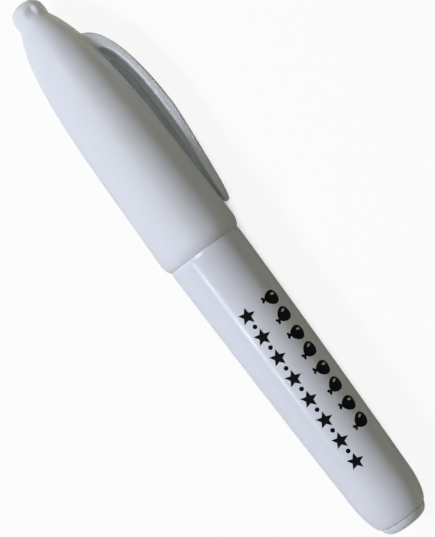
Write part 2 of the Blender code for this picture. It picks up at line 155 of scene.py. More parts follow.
def per_metre(size: float) -> float:
    """Texture scale that gives features of a size in millimetres."""
    return 1.0 / (size * MM)


def fill(tree: Tree, node: Node, inputs: dict[Any, Any]) -> None:
    """Links or fills inputs of a node.

    Args:
        tree: Node tree that the node is in.
        node: The node.
        inputs: For an input's name or number, the value to set, the output socket to link to it, or
            the node whose first output is linked to it.
    """
    for key, value in inputs.items():
        source = value.outputs[0] if isinstance(value, Node) else value
        if isinstance(source, Socket):
            tree.links.new(source, node.inputs[key])
        else:
            node.inputs[key].default_value = source


def add(tree: Tree, kind: str, inputs: dict[Any, Any] | None = None, **settings: Any) -> Node:
    """Adds a node, makes its settings, and links or fills its inputs.

    Args:
        tree: Node tree that takes the node.
        kind: Blender's name for the node type, without its leading ShaderNode.
        inputs: Inputs as fill takes them.
        settings: Properties of the node itself.

    Returns:
        The new node.
    """
    node = tree.nodes.new("ShaderNode" + kind)
    for name, value in settings.items():
        setattr(node, name, value)
    fill(tree, node, inputs or {})
    return node


# Curves, profiles and skins


def line(start: Pair, end: Pair, steps: int) -> Array:
    """Even points from start to end with both ends: start + (end - start) * share."""
    return np.linspace(start, end, steps + 1)


def arc(start: Pair, end: Pair, angle: float = 90.0, steps: int = 12) -> Array:
    """Elliptic arc that leaves start along the axis.

    The share of the way along the axis is sin(turn) / sin(angle), and the share of the way across
    it is (1 - cos(turn)) / (1 - cos(angle)), while turn runs from zero to angle.

    Args:
        start: First (x, radius).
        end: Last (x, radius).
        angle: Turn of the arc in degrees.
        steps: Number of chords.

    Returns:
        Rows of (x, radius), with both ends.
    """
    turn = np.linspace(0.0, radians(angle), steps + 1)
    along = np.sin(turn) / sin(radians(angle))
    across = (1.0 - np.cos(turn)) / (1.0 - cos(radians(angle)))
    share = np.column_stack([along, across])
    return np.asarray(start) + (np.asarray(end) - np.asarray(start)) * share


def cubic(start: Pair, pull: Pair, push: Pair, end: Pair, steps: int, trim: float = 0.0) -> Array:
    """Cubic Bezier curve: (1-t)^3 A + 3 (1-t)^2 t B + 3 (1-t) t^2 C + t^3 D.

    Args:
        start: First point A.
        pull: Handle B of the first point.
        push: Handle C of the last point.
        end: Last point D.
        steps: Number of chords.
        trim: Value of t that the curve begins at.

    Returns:
        Rows of points, with both ends.
    """
    t = np.linspace(trim, 1.0, steps + 1)[:, None]
    a, b, c, d = (np.asarray(point, dtype=float) for point in (start, pull, push, end))
    return (1 - t) ** 3 * a + 3 * (1 - t) ** 2 * t * b + 3 * (1 - t) * t**2 * c + t**3 * d


def plain(points: Array) -> Array:
    """Profile points that keep their corners, as rows of (x, radius, 0)."""
    return np.column_stack([points, np.zeros(len(points))])


def filleted(corners: Sequence[Array | Triple], steps: int = 7) -> Array:
    """Rounds the corners of a profile.

    A corner C with a reach above zero gives way to the parabola (1-t)^2 A + 2 t (1-t) C + t^2 B,
    where A and B lie on its two sides at that reach. One more point on each side, a quarter of the
    reach further out, keeps the flats flat when they are shaded smooth.

    Args:
        corners: Rows of (x, radius, reach), one by one or as arrays of rows. The first and last row
            are neighbours too.
        steps: Number of chords in a rounded corner.

    Returns:
        Rows of (x, radius).
    """
    rows = np.vstack(corners).astype(float)
    points, reach = rows[:, :2], rows[:, 2:]
    sides = []
    for shift in (1, -1):
        way = np.roll(points, shift, axis=0) - points
        sides.append(way / np.maximum(np.linalg.norm(way, axis=1, keepdims=True), TINY) * reach)
    before, after = sides
    t = np.linspace(0.0, 1.0, steps + 1)[None, :, None]
    start, middle, end = ((points + side)[:, None] for side in (before, 0.0 * before, after))
    curve = (1 - t) ** 2 * start + 2 * t * (1 - t) * middle + t**2 * end
    flats = [(points + side * FLAT_POINT)[:, None] for side in (before, after)]
    dense = np.concatenate([flats[0], curve, flats[1]], axis=1).reshape(-1, 2)
    apart = np.linalg.norm(np.diff(dense, axis=0), axis=1) > MERGE
    return dense[np.concatenate([[True], apart])]


def ring_bump(x: float, radius: float, height: float, width: float, steps: int = 10) -> Array:
    """Half-round ring, front to back: x + width / 2 cos(a) and radius + height sin(a)."""
    turn = np.linspace(0.0, pi, steps + 1)
    return np.column_stack([x + width / 2 * np.cos(turn), radius + height * np.sin(turn)])


@dataclass(frozen=True)
class Skin:
    """A closed skin through rings of points, each ring joined to the next.

    Attributes:
        rings: Points in millimetres, as an array of (ring, place in the ring, coordinate).
        looped: Whether the last ring joins the first one. Otherwise each end closes on a point.
        front: Point that closes the first ring, or None for its centre.
        back: Point that closes the last ring, or None for its centre.
    """

    rings: Array
    looped: bool = False
    front: Array | None = None
    back: Array | None = None

    def points(self) -> Array:
        """All points of the skin.

        Returns:
            The points ring by ring, and behind them the two that close the ends.
        """
        flat = self.rings.reshape(-1, 3)
        if self.looped:
            return flat
        front = self.rings[0].mean(axis=0) if self.front is None else self.front
        back = self.rings[-1].mean(axis=0) if self.back is None else self.back
        return np.vstack([flat, front, back])

    def faces(self, first: int) -> list[list[int]]:
        """Quads between neighbouring rings, and the fans that close the ends.

        Args:
            first: Number of the skin's first point in its mesh.

        Returns:
            Point numbers of each face, in the order that makes it face outwards.
        """
        count, around = self.rings.shape[:2]
        here = np.arange(count if self.looped else count - 1)[:, None] * around
        there = (here + around) % (count * around)
        place = np.arange(around)[None, :]
        beside = (place + 1) % around
        quads = np.stack([here + place, there + place, there + beside, here + beside], axis=-1)
        made = (quads.reshape(-1, 4) + first).tolist()
        if not self.looped:
            last = (count - 1) * around
            pole = np.full_like(place, count * around)
            near = np.stack([pole, place, beside], axis=-1)
            far = np.stack([last + place, pole + 1, last + beside], axis=-1)
            made += (np.concatenate([near, far], axis=1).reshape(-1, 3) + first).tolist()
        return made


def turned(profile: Array, looped: bool = False, around: int = MIDDLE_TURN) -> Skin:
    """Turns a profile about the marker's axis: (x, r cos(a), r sin(a)) for a from 0 to 360 degrees.

    Args:
        profile: Rows of (x, radius), the outer side from front to back. An end on the axis is a
            pole.
        looped: Whether the profile is a closed loop, as that of a tube.
        around: Number of steps in the turn.

    Returns:
        The skin.
    """
    poles: list[Array | None] = [None, None]
    for side, row in enumerate((0, -1)):
        if not looped and profile[row, 1] == 0.0:
            poles[side] = np.array([profile[row, 0], 0.0, 0.0])
    rows = profile[profile[:, 1] > 0.0]
    angle = np.linspace(0.0, 2 * pi, around, endpoint=False)[None, :]
    x = np.broadcast_to(rows[:, :1], (len(rows), around))
    rings = np.stack([x, rows[:, 1:] * np.cos(angle), rows[:, 1:] * np.sin(angle)], axis=-1)
    return Skin(rings, looped, *poles)


def tube(path: Array, radius: float, around: int = 16) -> Skin:
    """Carries a circle along a path: p + radius (n cos(a) + (n x t) sin(a)).

    Here t is the path's direction, and n points away from the marker's axis, square to t.

    Args:
        path: Rows of points in millimetres.
        radius: Radius of the circle.
        around: Number of points in the circle.

    Returns:
        The skin, with flat ends.
    """
    way = np.gradient(path, axis=0)
    way /= np.linalg.norm(way, axis=1, keepdims=True)
    out = path * (0.0, 1.0, 1.0)
    out -= way * np.sum(out * way, axis=1, keepdims=True)
    out /= np.linalg.norm(out, axis=1, keepdims=True)
    beside = np.cross(out, way)
    angle = np.linspace(0.0, 2 * pi, around, endpoint=False)[None, :, None]
    circle = out[:, None] * np.cos(angle) + beside[:, None] * np.sin(angle)
    return Skin(path[:, None] + radius * circle)


def piece(name: str, skins: Sequence[Skin], finish: Material) -> Object:
    """Makes one mesh object of skins, smooth except along creases.

    Args:
        name: Name of the piece.
        skins: Skins in millimetres, in the frame's own place.
        finish: Material of the whole piece.

    Returns:
        The object, linked to the scene at the origin.
    """
    points: list[Array] = []
    faces: list[list[int]] = []
    first = 0
    for skin in skins:
        points.append(skin.points())
        faces += skin.faces(first)
        first += len(points[-1])
    mesh = bpy.data.meshes.new(name)
    mesh.from_pydata((np.vstack(points) * MM).tolist(), [], faces)
    mesh.shade_smooth()
    mesh.set_sharp_from_angle(angle=radians(CREASE))
    mesh.materials.append(finish)
    made = bpy.data.objects.new(name, mesh)
    bpy.context.scene.collection.objects.link(made)
    return made


def fit(made: Object, body: Body, slot: Slot | None = None, *nodes: str) -> None:
    """Puts a finished piece on its body, in place of CAD nodes.

    Args:
        made: The piece.
        body: Body that it rides on.
        slot: Finish slot of the record, if it has one. Not used.
        nodes: CAD nodes that it stands for.
    """
    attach(made, body.value)
    if nodes:
        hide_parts(*nodes)
    LOG.info("%s rides on %s with %d faces", made.name, body.value, len(made.data.polygons))


# Finishes


@dataclass(frozen=True)
class Finish:
    """A material on the Principled shader, with its even values set on the shader's own sockets.

    Attributes:
        name: Common name of the material and how its surface was made.
        colour: Main colour as sRGB hex.
        roughness: Mean roughness.
        ior: Index of refraction.
        metallic: One for a metal.
        specular: Share of the mirror reflection at a surface seen square on, where 0.5 is all of
            it.
    """

    name: str
    colour: str
    roughness: float
    ior: float = 1.5
    metallic: float = 0.0
    specular: float = 0.5

    def material(self) -> Material:
        """Builds the shader with its even values, then what varies over the surface.

        Returns:
            The material.
        """
        made = bpy.data.materials.new(self.name)
        made.use_nodes = True
        tree = made.node_tree
        tree.nodes.clear()
        values = {
            "Base Color": linear(self.colour),
            "Roughness": self.roughness,
            "IOR": self.ior,
            "Metallic": self.metallic,
            "Specular IOR Level": self.specular,
        }
        shader = add(tree, "BsdfPrincipled", values)
        add(tree, "OutputMaterial", {"Surface": shader})
        self.dress(tree, add(tree, "TexCoord").outputs["Object"], shader)
        return made

    def dress(self, tree: Tree, place: Socket, shader: Node) -> None:
        """Adds what varies over the surface. Each finish does this in its own way."""
        raise NotImplementedError


@dataclass(frozen=True)
class Moulded(Finish):
    """Injection-moulded plastic.

    Attributes:
        drift: Second tint, where the wall lets a little more light through.
        drift_size: Size of the tint's slow change in millimetres.
        grain_size: Size of the mould's surface grain in millimetres, coarser than the real one
            where that is too fine to show.
        grain_height: Height of that grain in millimetres.
        haze: How far the roughness swings where hands have rubbed it.
        haze_size: Size of those rubbed patches in millimetres.
        haze_range: Values of their noise between which the roughness swings.
        glow: Share of the light that enters the plastic and comes out again nearby.
        glow_reach: How far it travels inside, in millimetres.
        glow_colours: Share of that way that red, green and blue light travel.
    """

    drift: str = WHITE
    drift_size: float = 15.0
    grain_size: float = 0.4
    grain_height: float = 0.002
    haze: float = 0.05
    haze_size: float = 5.0
    haze_range: Pair = (0.3, 0.7)
    glow: float = 0.0
    glow_reach: float = 1.0
    glow_colours: Triple = (1.0, 0.95, 0.9)

    def dress(self, tree: Tree, place: Socket, shader: Node) -> None:
        """Adds a slow drift of tint, rubbed patches and the mould's grain.

        Args:
            tree: Node tree of the material.
            place: Object coordinates.
            shader: The Principled shader.
        """
        sizes = ((self.drift_size, 1.0), (self.haze_size, 4.0), (self.grain_size, 2.0))
        drift, haze, grain = (
            add(tree, "TexNoise", {"Vector": place, "Scale": per_metre(size), "Detail": detail})
            for size, detail in sizes
        )
        tints = {0: drift, MIX_FROM: linear(self.colour), MIX_TO: linear(self.drift)}
        rub = {
            "Value": haze,
            "From Min": self.haze_range[0],
            "From Max": self.haze_range[1],
            "To Min": self.roughness - self.haze,
            "To Max": self.roughness + self.haze,
        }
        bump = {"Height": grain, "Strength": 1.0, "Distance": self.grain_height * MM}
        surface = {
            "Base Color": add(tree, "Mix", tints, data_type="RGBA").outputs[MIX_COLOUR],
            "Roughness": add(tree, "MapRange", rub),
            "Normal": add(tree, "Bump", bump),
            "Subsurface Weight": self.glow,
            "Subsurface Radius": self.glow_colours,
            "Subsurface Scale": self.glow_reach * MM,
        }
        fill(tree, shader, surface)


@dataclass(frozen=True)
class BondedFibre(Finish):
    """Fibres bonded side by side into a rod, which show as fine streaks along it.

    Attributes:
        shade: Painted shade in the pores between the fibres, a darker tint.
        fibre_size: Width of a streak in millimetres.
        fibre_length: Length of a streak in millimetres.
        fibre_height: Depth of the pores in millimetres.
        pore_range: Values of the streaks' noise between which the tint goes from pore to fibre.
    """

    shade: str = "#DDDCD6"
    fibre_size: float = 0.12
    fibre_length: float = 3.0
    fibre_height: float = 0.006
    pore_range: Pair = (0.35, 0.6)

    def dress(self, tree: Tree, place: Socket, shader: Node) -> None:
        """Adds streaks along X as noise that is stretched by the streak's length over its width.

        Args:
            tree: Node tree of the material.
            place: Object coordinates.
            shader: The Principled shader.
        """
        stretch = (self.fibre_size / self.fibre_length, 1.0, 1.0)
        along = add(tree, "Mapping", {"Vector": place, "Scale": stretch})
        noise = {"Vector": along, "Scale": per_metre(self.fibre_size), "Detail": 3.0}
        streak = add(tree, "TexNoise", noise)
        low, high = self.pore_range
        spread = add(tree, "MapRange", {"Value": streak, "From Min": low, "From Max": high})
        # Painted shade: where the streaks' noise is low, in the pores, the tint is darker.
        tints = {0: spread, MIX_FROM: linear(self.shade), MIX_TO: linear(self.colour)}
        bump = {"Height": streak, "Strength": 1.0, "Distance": self.fibre_height * MM}
        surface = {
            "Base Color": add(tree, "Mix", tints, data_type="RGBA").outputs[MIX_COLOUR],
            "Normal": add(tree, "Bump", bump),
        }
        fill(tree, shader, surface)


@dataclass(frozen=True)
class WorkedSteel(Finish):
    """Drawn or lapped steel, bright with hair-fine scratches.

    Attributes:
        scratch_size: Width of a scratch in millimetres.
        scratch_height: Depth of a scratch in millimetres.
        scratch_turn: Euler angles of the scratches' direction in radians.
        scratch_squeeze: Width of a scratch over its length.
        swing: How far the roughness swings between scratched and clean places.
    """

    scratch_size: float = 0.1
    scratch_height: float = 0.0006
    scratch_turn: Triple = (0.0, 0.5, 0.9)
    scratch_squeeze: float = 0.1
    swing: float = 0.06

    def dress(self, tree: Tree, place: Socket, shader: Node) -> None:
        """Adds scratches as noise that is drawn out along one slanting direction.

        Args:
            tree: Node tree of the material.
            place: Object coordinates.
            shader: The Principled shader.
        """
        squeeze = (self.scratch_squeeze, 1.0, 1.0)
        turn = {"Vector": place, "Rotation": self.scratch_turn, "Scale": squeeze}
        slant = add(tree, "Mapping", turn)
        noise = {"Vector": slant, "Scale": per_metre(self.scratch_size), "Detail": 4.0}
        scratch = add(tree, "TexNoise", noise)
        low, high = self.roughness - self.swing, self.roughness + self.swing
        bump = {"Height": scratch, "Strength": 1.0, "Distance": self.scratch_height * MM}
        surface = {
            "Roughness": add(tree, "MapRange", {"Value": scratch, "To Min": low, "To Max": high}),
            "Normal": add(tree, "Bump", bump),
        }
        fill(tree, shader, surface)


# Polypropylene from a spark-eroded mould: white with a breath of blue, soft sheen and no sharp
# highlight. The real grain is about 0.1 mm and is drawn at 0.35 mm so that it can show.
SATIN_POLYPROPYLENE = Moulded(
    "satin moulded polypropylene",
    "#F6F7FA",
    0.55,
    1.49,
    specular=0.28,
    drift="#F1F2F7",
    grain_size=0.35,
    grain_height=0.0025,
    glow=0.4,
)
# The same polypropylene from a polished mould: one narrow bright line under the lamp, which wavers
# a little with the long sink waves of the tube.
GLOSS_POLYPROPYLENE = Moulded(
    "gloss moulded polypropylene",
    "#F6F7FA",
    0.23,
    1.49,
    specular=0.22,
    drift="#F1F2F7",
    grain_size=3.5,
    grain_height=0.004,
    haze=0.04,
)
# Polyethylene without pigment: milky, slightly yellow, waxy rather than shiny.
NATURAL_POLYETHYLENE = Moulded(
    "natural moulded polyethylene", "#E6E5DC", 0.45, 1.51, drift="#DAD9CE", grain_size=0.5
)
# Acetal as it comes from the mould: dense cool white with a soft gloss.
ACETAL = Moulded(
    "moulded acetal", "#EBEBE8", 0.32, 1.48, drift="#E2E2DE", grain_size=0.6, grain_height=0.0015
)
# Black nitrile rubber pressed in a mould: dull, with a grey bloom in patches.
NITRILE_RUBBER = Moulded(
    "pressed nitrile rubber",
    "#1E1E1F",
    0.72,
    1.52,
    drift="#2B2B2C",
    drift_size=1.5,
    grain_size=0.15,
    grain_height=0.004,
)
# Polyester fibres bonded into a rod: chalky white with fine streaks along it. A fibre of about
# 0.02 mm is too fine to show, so that a streak of 0.12 mm stands for a bundle of them.
POLYESTER_FIBRE = BondedFibre("bonded polyester fibre", "#F6F6F2", 0.9, 1.55)
# Spring wire drawn through a die: bright grey, finely scratched. The real scratches are about
# 0.02 mm wide and are drawn at 0.1 mm, here and on the ball, so that they can show.
DRAWN_STEEL = WorkedSteel("drawn stainless spring wire", "#C9C9CC", 0.28, metallic=1.0)
# Ball ground and lapped: nearly a mirror.
LAPPED_STEEL = WorkedSteel("lapped stainless steel", "#D2D2D4", 0.14, metallic=1.0)
# Ink laid down by a silicone pad: dense black film with a dull sheen and a faint mottle.
PAD_PRINTED_INK = Moulded(
    "pad-printed black ink",
    "#050506",
    0.45,
    1.5,
    specular=0.04,
    drift="#0C0C0E",
    drift_size=2.0,
    grain_size=0.3,
    haze=0.08,
    haze_size=1.2,
)


# Barrel


@dataclass
class Barrel:
    """Glossy tube that holds the ink.

    Attributes are stations along X, radii and other lengths, in millimetres, and the turn of the
    tail's arc in degrees.
    """

    front: float = 52.49
    shoulder: float = 51.65
    shoulder_radius: float = 6.32
    front_radius: float = 6.08
    tail: float = 7.5
    tail_radius: float = 5.47
    swell: float = 0.12
    rim: float = 1.5
    rim_radius: float = 4.2
    rim_round: float = 0.45
    tail_angle: float = 63.0
    throat_radius: float = 3.1
    throat_end: float = 6.2
    chamber_start: float = 7.32
    chamber_radius: float = 4.22
    socket: float = 42.2
    bore: float = 5.15

    def side(self, x: Array) -> Array:
        """Radius of the outer side: a straight taper plus swell times 4 s (1 - s).

        Args:
            x: Stations between the tail's round and the shoulder.

        Returns:
            Radii there.
        """
        share = (self.shoulder - x) / (self.shoulder - self.tail)
        taper = self.shoulder_radius + (self.tail_radius - self.shoulder_radius) * share
        return taper + self.swell * 4 * share * (1 - share)

    def profile(self) -> Array:
        """Loop of the tube: shoulder, barrelled side, rounded tail, then throat, chamber and bore.

        The last chords of the tail's arc give way to the rim's round.

        Returns:
            Rows of (x, radius).
        """
        side_steps, tail_steps, rim_steps = 120, 28, 4
        x = np.linspace(self.shoulder, self.tail, side_steps + 1)
        front = arc((self.shoulder, self.shoulder_radius), (self.front, self.front_radius))
        rim = (self.rim, self.rim_radius)
        tail = arc((self.tail, self.tail_radius), rim, self.tail_angle, tail_steps)
        return filleted(
            [
                (self.front, self.bore, Round.EASED),
                plain(front[::-1]),
                plain(np.column_stack([x, self.side(x)])[1:-1]),
                plain(tail[:-rim_steps]),
                (*rim, self.rim_round),
                (self.rim, self.throat_radius, Round.CRISP),
                (self.throat_end, self.throat_radius, Round.CRISP),
                (self.chamber_start, self.chamber_radius, Round.FULL),
                (self.socket, self.bore, Round.ROUND),
            ]
        )

    def build(self, finish: Material) -> None:
        """Builds the tube."""
        skin = turned(self.profile(), looped=True, around=FINE_TURN)
        fit(piece("barrel_tube", [skin], finish), Body.BARREL, Slot.WHITE_GLOSS, "barrel")


@dataclass
class Print:
    """Party print on the barrel: a row of balloons and a row of stars and dots, as a film of ink.

    A motif is drawn flat, with p along the barrel towards the tail and q around it towards the
    clip's side, and is then laid onto the barrel. Lengths are in millimetres.

    Attributes:
        barrel: Barrel that carries the print.
        lift: How far the film stands off the barrel.
        depth: How far its edge reaches into the barrel.
        outline: Number of points round a motif.
        speck: Radius of the speck at a motif's middle that the film starts from.
        balloon_angle: Middle of the balloons' row, in degrees from the top towards the clip's side.
        balloons: Number of balloons.
        balloon_start: Station of the first balloon.
        balloon_pitch: Distance between balloons.
        balloon_lean: Tilt of a balloon in degrees, to one side and the other by turns.
        balloon_size: Half breadth and half height of a balloon's body.
        balloon_swell: Share by which the body is broader at its top.
        balloon_rise: How far the body's middle lies above the row's.
        glint_size: Half breadth and half height of the glint.
        glint_place: Middle of the glint.
        knot_radius: Mean radius of the knot.
        knot_lobe: Share by which its three corners stand out.
        knot_place: Middle of the knot.
        star_angle: Middle of the stars' row, in the same degrees.
        stars: Number of stars. A dot stands between two stars.
        star_start: Station of the first star.
        star_pitch: Distance between stars.
        star_radius: Outer and inner radius of a star.
        dot_radius: Radius of a dot.
    """

    barrel: Barrel
    lift: float = 0.015
    depth: float = 0.06
    outline: int = 60
    speck: float = 0.02
    balloon_angle: float = 55.0
    balloons: int = 8
    balloon_start: float = 40.6
    balloon_pitch: float = 3.3
    balloon_lean: float = 14.0
    balloon_size: Pair = (1.15, 1.3)
    balloon_swell: float = 0.16
    balloon_rise: float = 0.3
    glint_size: Pair = (0.17, 0.4)
    glint_place: Pair = (-0.5, 0.7)
    knot_radius: float = 0.4
    knot_lobe: float = 0.35
    knot_place: Pair = (0.0, -1.22)
    star_angle: float = 11.0
    stars: int = 8
    star_start: float = 40.4
    star_pitch: float = 3.9
    star_radius: Pair = (1.4, 0.62)
    dot_radius: float = 0.36

    def laid(self, flat: Array, station: float, angle: float) -> Array:
        """Lays flat points onto the barrel: x = station - p, around it by q / radius, out by lift.

        Args:
            flat: Points of (p, q, lift) in millimetres, in any arrangement.
            station: Station of the motif's middle.
            angle: Its angle from the top towards the clip's side, in degrees.

        Returns:
            Points in the frame, arranged as the flat ones.
        """
        x = station - flat[..., 0]
        radius = self.barrel.side(x)
        turn = radians(angle) + flat[..., 1] / radius
        reach = radius + flat[..., 2]
        return np.stack([x, -reach * np.sin(turn), reach * np.cos(turn)], axis=-1)

    def film(self, outline: Array, inner: Array) -> Array:
        """Rings of a film that go from an inner outline to the outer one, down, and back below.

        Args:
            outline: Rows of (p, q) round the motif, anticlockwise.
            inner: As many rows round its hole, or round a speck at its middle.

        Returns:
            Rings of (p, q, lift).
        """
        upper, lower = 6, 2
        share = np.concatenate([np.linspace(0.0, 1.0, upper), [1.0, 0.0]])[:, None, None]
        height = np.repeat((self.lift, -self.depth), (upper, lower))[:, None]
        flat = inner[None] + (outline - inner)[None] * share
        return np.dstack([flat, np.broadcast_to(height, flat.shape[:2])])

    def balloon(self, station: float, lean: float) -> list[Skin]:
        """One balloon with a glint in it, and its knot.

        The body is p = half breadth cos(a) (1 + swell sin(a)), q = rise + half height sin(a), with
        its broad end on top. The glint is an ellipse left bare, and the knot is a circle drawn out
        to three corners by its radius (1 + lobe cos(3 a)).

        Args:
            station: Station of its middle.
            lean: Its tilt in degrees.

        Returns:
            Skins of body and knot.
        """
        angle = np.linspace(0.0, 2 * pi, self.outline, endpoint=False)
        ring = np.column_stack([np.cos(angle), np.sin(angle)])
        swell = np.column_stack([1 + self.balloon_swell * np.sin(angle), np.ones(self.outline)])
        body = ring * self.balloon_size * swell + (0.0, self.balloon_rise)
        glint = ring * self.glint_size + self.glint_place
        reach = self.knot_radius * (1 + self.knot_lobe * np.cos(3 * (angle - pi / 2)))
        knot = ring * reach[:, None] + self.knot_place
        speck = ring * self.speck + self.knot_place
        along, across = cos(radians(lean)), sin(radians(lean))
        tilt = np.array([[along, across], [-across, along]])
        films = self.film(body @ tilt, glint @ tilt), self.film(knot @ tilt, speck @ tilt)
        return [
            Skin(self.laid(film, station, self.balloon_angle), looped=looped)
            for film, looped in zip(films, (True, False))
        ]

    def star(self, station: float, radius: Pair) -> Skin:
        """One star with five points, or a dot where both radii are the same.

        A straight edge from the outer radius R to the inner radius r over 36 degrees lies at
        R r sin(36) / (R sin(a) + r sin(36 - a)). It is mirrored and repeated five times. A dot
        is the circle of that radius.

        Args:
            station: Station of its middle.
            radius: Outer and inner radius.

        Returns:
            Its skin.
        """
        angle = np.linspace(0.0, 2 * pi, self.outline, endpoint=False)
        half = pi / 5
        along = np.abs((angle + half) % (2 * half) - half)
        outer, inner = radius
        edge = outer * inner * sin(half) / (outer * np.sin(along) + inner * np.sin(half - along))
        reach = np.full(self.outline, outer) if outer == inner else edge
        ring = np.column_stack([np.cos(angle + pi / 2), np.sin(angle + pi / 2)])
        film = self.film(ring * reach[:, None], ring * self.speck)
        return Skin(self.laid(film, station, self.star_angle))

    def build(self, finish: Material) -> None:
        """Prints the balloons, the stars and the dots.

        Args:
            finish: The ink.
        """
        skins: list[Skin] = []
        for number in range(self.balloons):
            lean = self.balloon_lean if number % 2 else -self.balloon_lean
            skins += self.balloon(self.balloon_start - number * self.balloon_pitch, lean)
        dot = (self.dot_radius, self.dot_radius)
        for number in range(self.stars):
            station = self.star_start - number * self.star_pitch
            skins.append(self.star(station, self.star_radius))
            if number:
                skins.append(self.star(station + self.star_pitch / 2, dot))
        fit(piece("party_print", skins, finish), Body.BARREL)


@dataclass
class TailPlug:
    """Cup-shaped plug that closes the tail. Stations and radii are in millimetres."""

    head: float = 1.48
    head_radius: float = 4.08
    head_handle: Pair = (0.9, 3.88)
    face_radius: float = 2.4
    face_handle: float = 3.5
    gate_radius: float = 0.9
    gate_depth: float = 0.12
    gate_slope: float = 0.15
    skirt_radius: float = 2.8
    skirt_end: float = 5.9
    cup_radius: float = 1.9
    floor: float = 2.0

    def profile(self) -> Array:
        """From the cup's floor over the skirt and the rounded head to the gate mark on the face.

        The head is a Bezier curve whose first chords give way to the round of its edge.

        Returns:
            Rows of (x, radius).
        """
        head_steps, edge_steps = 24, 3
        edge, face = (self.head, self.head_radius), (0.0, self.face_radius)
        head = cubic(edge, self.head_handle, (0.0, self.face_handle), face, head_steps)
        return filleted(
            [
                (self.floor, 0.0, Round.SHARP),
                (self.floor, self.cup_radius, Round.SOFT),
                (self.skirt_end, self.cup_radius, Round.EASED),
                (self.skirt_end, self.skirt_radius, Round.ROUND),
                (self.head, self.skirt_radius, Round.CRISP),
                (*edge, Round.CRISP),
                plain(head[edge_steps:]),
                (0.0, self.gate_radius, Round.CRISP),
                (self.gate_depth, self.gate_radius - self.gate_slope, Round.CRISP),
                (self.gate_depth, 0.0, Round.SHARP),
            ]
        )

    def build(self, finish: Material) -> None:
        """Builds the plug."""
        skin = turned(self.profile(), around=FINE_TURN)
        fit(piece("tail_stopper", [skin], finish), Body.BARREL, Slot.WHITE_GLOSS, "tail_plug")


# Writing end


@dataclass
class NibHolder:
    """Front section: nose, seal land, cone, neck with its snap ridge, and the pressed length.

    Attributes are stations along X and radii, and the height and width of ridge and beads, in
    millimetres.
    """

    front: float = 75.5
    nose_radius: float = 2.8
    bore: float = 2.2
    land_front: float = 69.5
    land_back: float = 65.5
    land_radius: float = 3.7
    cone_back: float = 59.5
    cone_radius: float = 4.9
    neck_front: float = 58.95
    neck_radius: float = 5.45
    ridge: float = 56.0
    stop: float = 52.5
    plug_radius: float = 4.85
    beads: Pair = (49.5, 46.0)
    bead_size: Pair = (0.15, 0.9)
    back: float = 42.5
    pocket_radius: float = 3.6
    pocket_end: float = 58.6

    def profile(self) -> Array:
        """Loop of the holder, its outer side from front to back and then its bores.

        Returns:
            Rows of (x, radius).
        """
        beads = (ring_bump(bead, self.plug_radius, *self.bead_size) for bead in self.beads)
        return filleted(
            [
                (self.front, self.bore, Round.EASED),
                (self.front, self.nose_radius, Round.BLUNT),
                (self.land_front, self.land_radius, Round.BROAD),
                (self.land_back, self.land_radius, Round.BROAD),
                (self.cone_back, self.cone_radius, Round.ROUND),
                (self.neck_front, self.neck_radius, Round.ROUND),
                plain(ring_bump(self.ridge, self.neck_radius, *self.bead_size)),
                (self.stop, self.neck_radius, Round.CRISP),
                (self.stop, self.plug_radius, Round.SHARP),
                *(plain(bead) for bead in beads),
                (self.back, self.plug_radius, Round.FULL),
                (self.back, self.pocket_radius, Round.SOFT),
                (self.pocket_end, self.pocket_radius, Round.SHARP),
                (self.pocket_end, self.bore, Round.EASED),
            ]
        )

    def build(self, finish: Material) -> None:
        """Builds the holder."""
        skin = turned(self.profile(), looped=True)
        fit(piece("front_section", [skin], finish), Body.BARREL, Slot.WHITE_GLOSS, "nib_holder")


@dataclass
class Nib:
    """Rod of bonded fibre with a bullet tip. Stations and radii are in millimetres."""

    tip: float = 81.0
    tip_length: float = 3.2
    radius: float = 1.9
    back: float = 62.7
    chamfer: float = 0.3

    def profile(self) -> Array:
        """Bullet tip as a quarter ellipse, straight side, and a chamfered rear end.

        Returns:
            Rows of (x, radius).
        """
        root = (self.tip - self.tip_length, self.radius)
        bullet = arc(root, (self.tip, 0.0), steps=24)[::-1]
        side = line(root, (self.back + self.chamfer, self.radius), steps=8)
        edge = (self.back, self.radius - self.chamfer)
        return np.vstack([bullet, side[1:], edge, (self.back, 0.0)])

    def build(self, finish: Material) -> None:
        """Builds the nib."""
        fit(piece("bullet_nib", [turned(self.profile())], finish), Body.NIB, Slot.FIBRE, "nib")


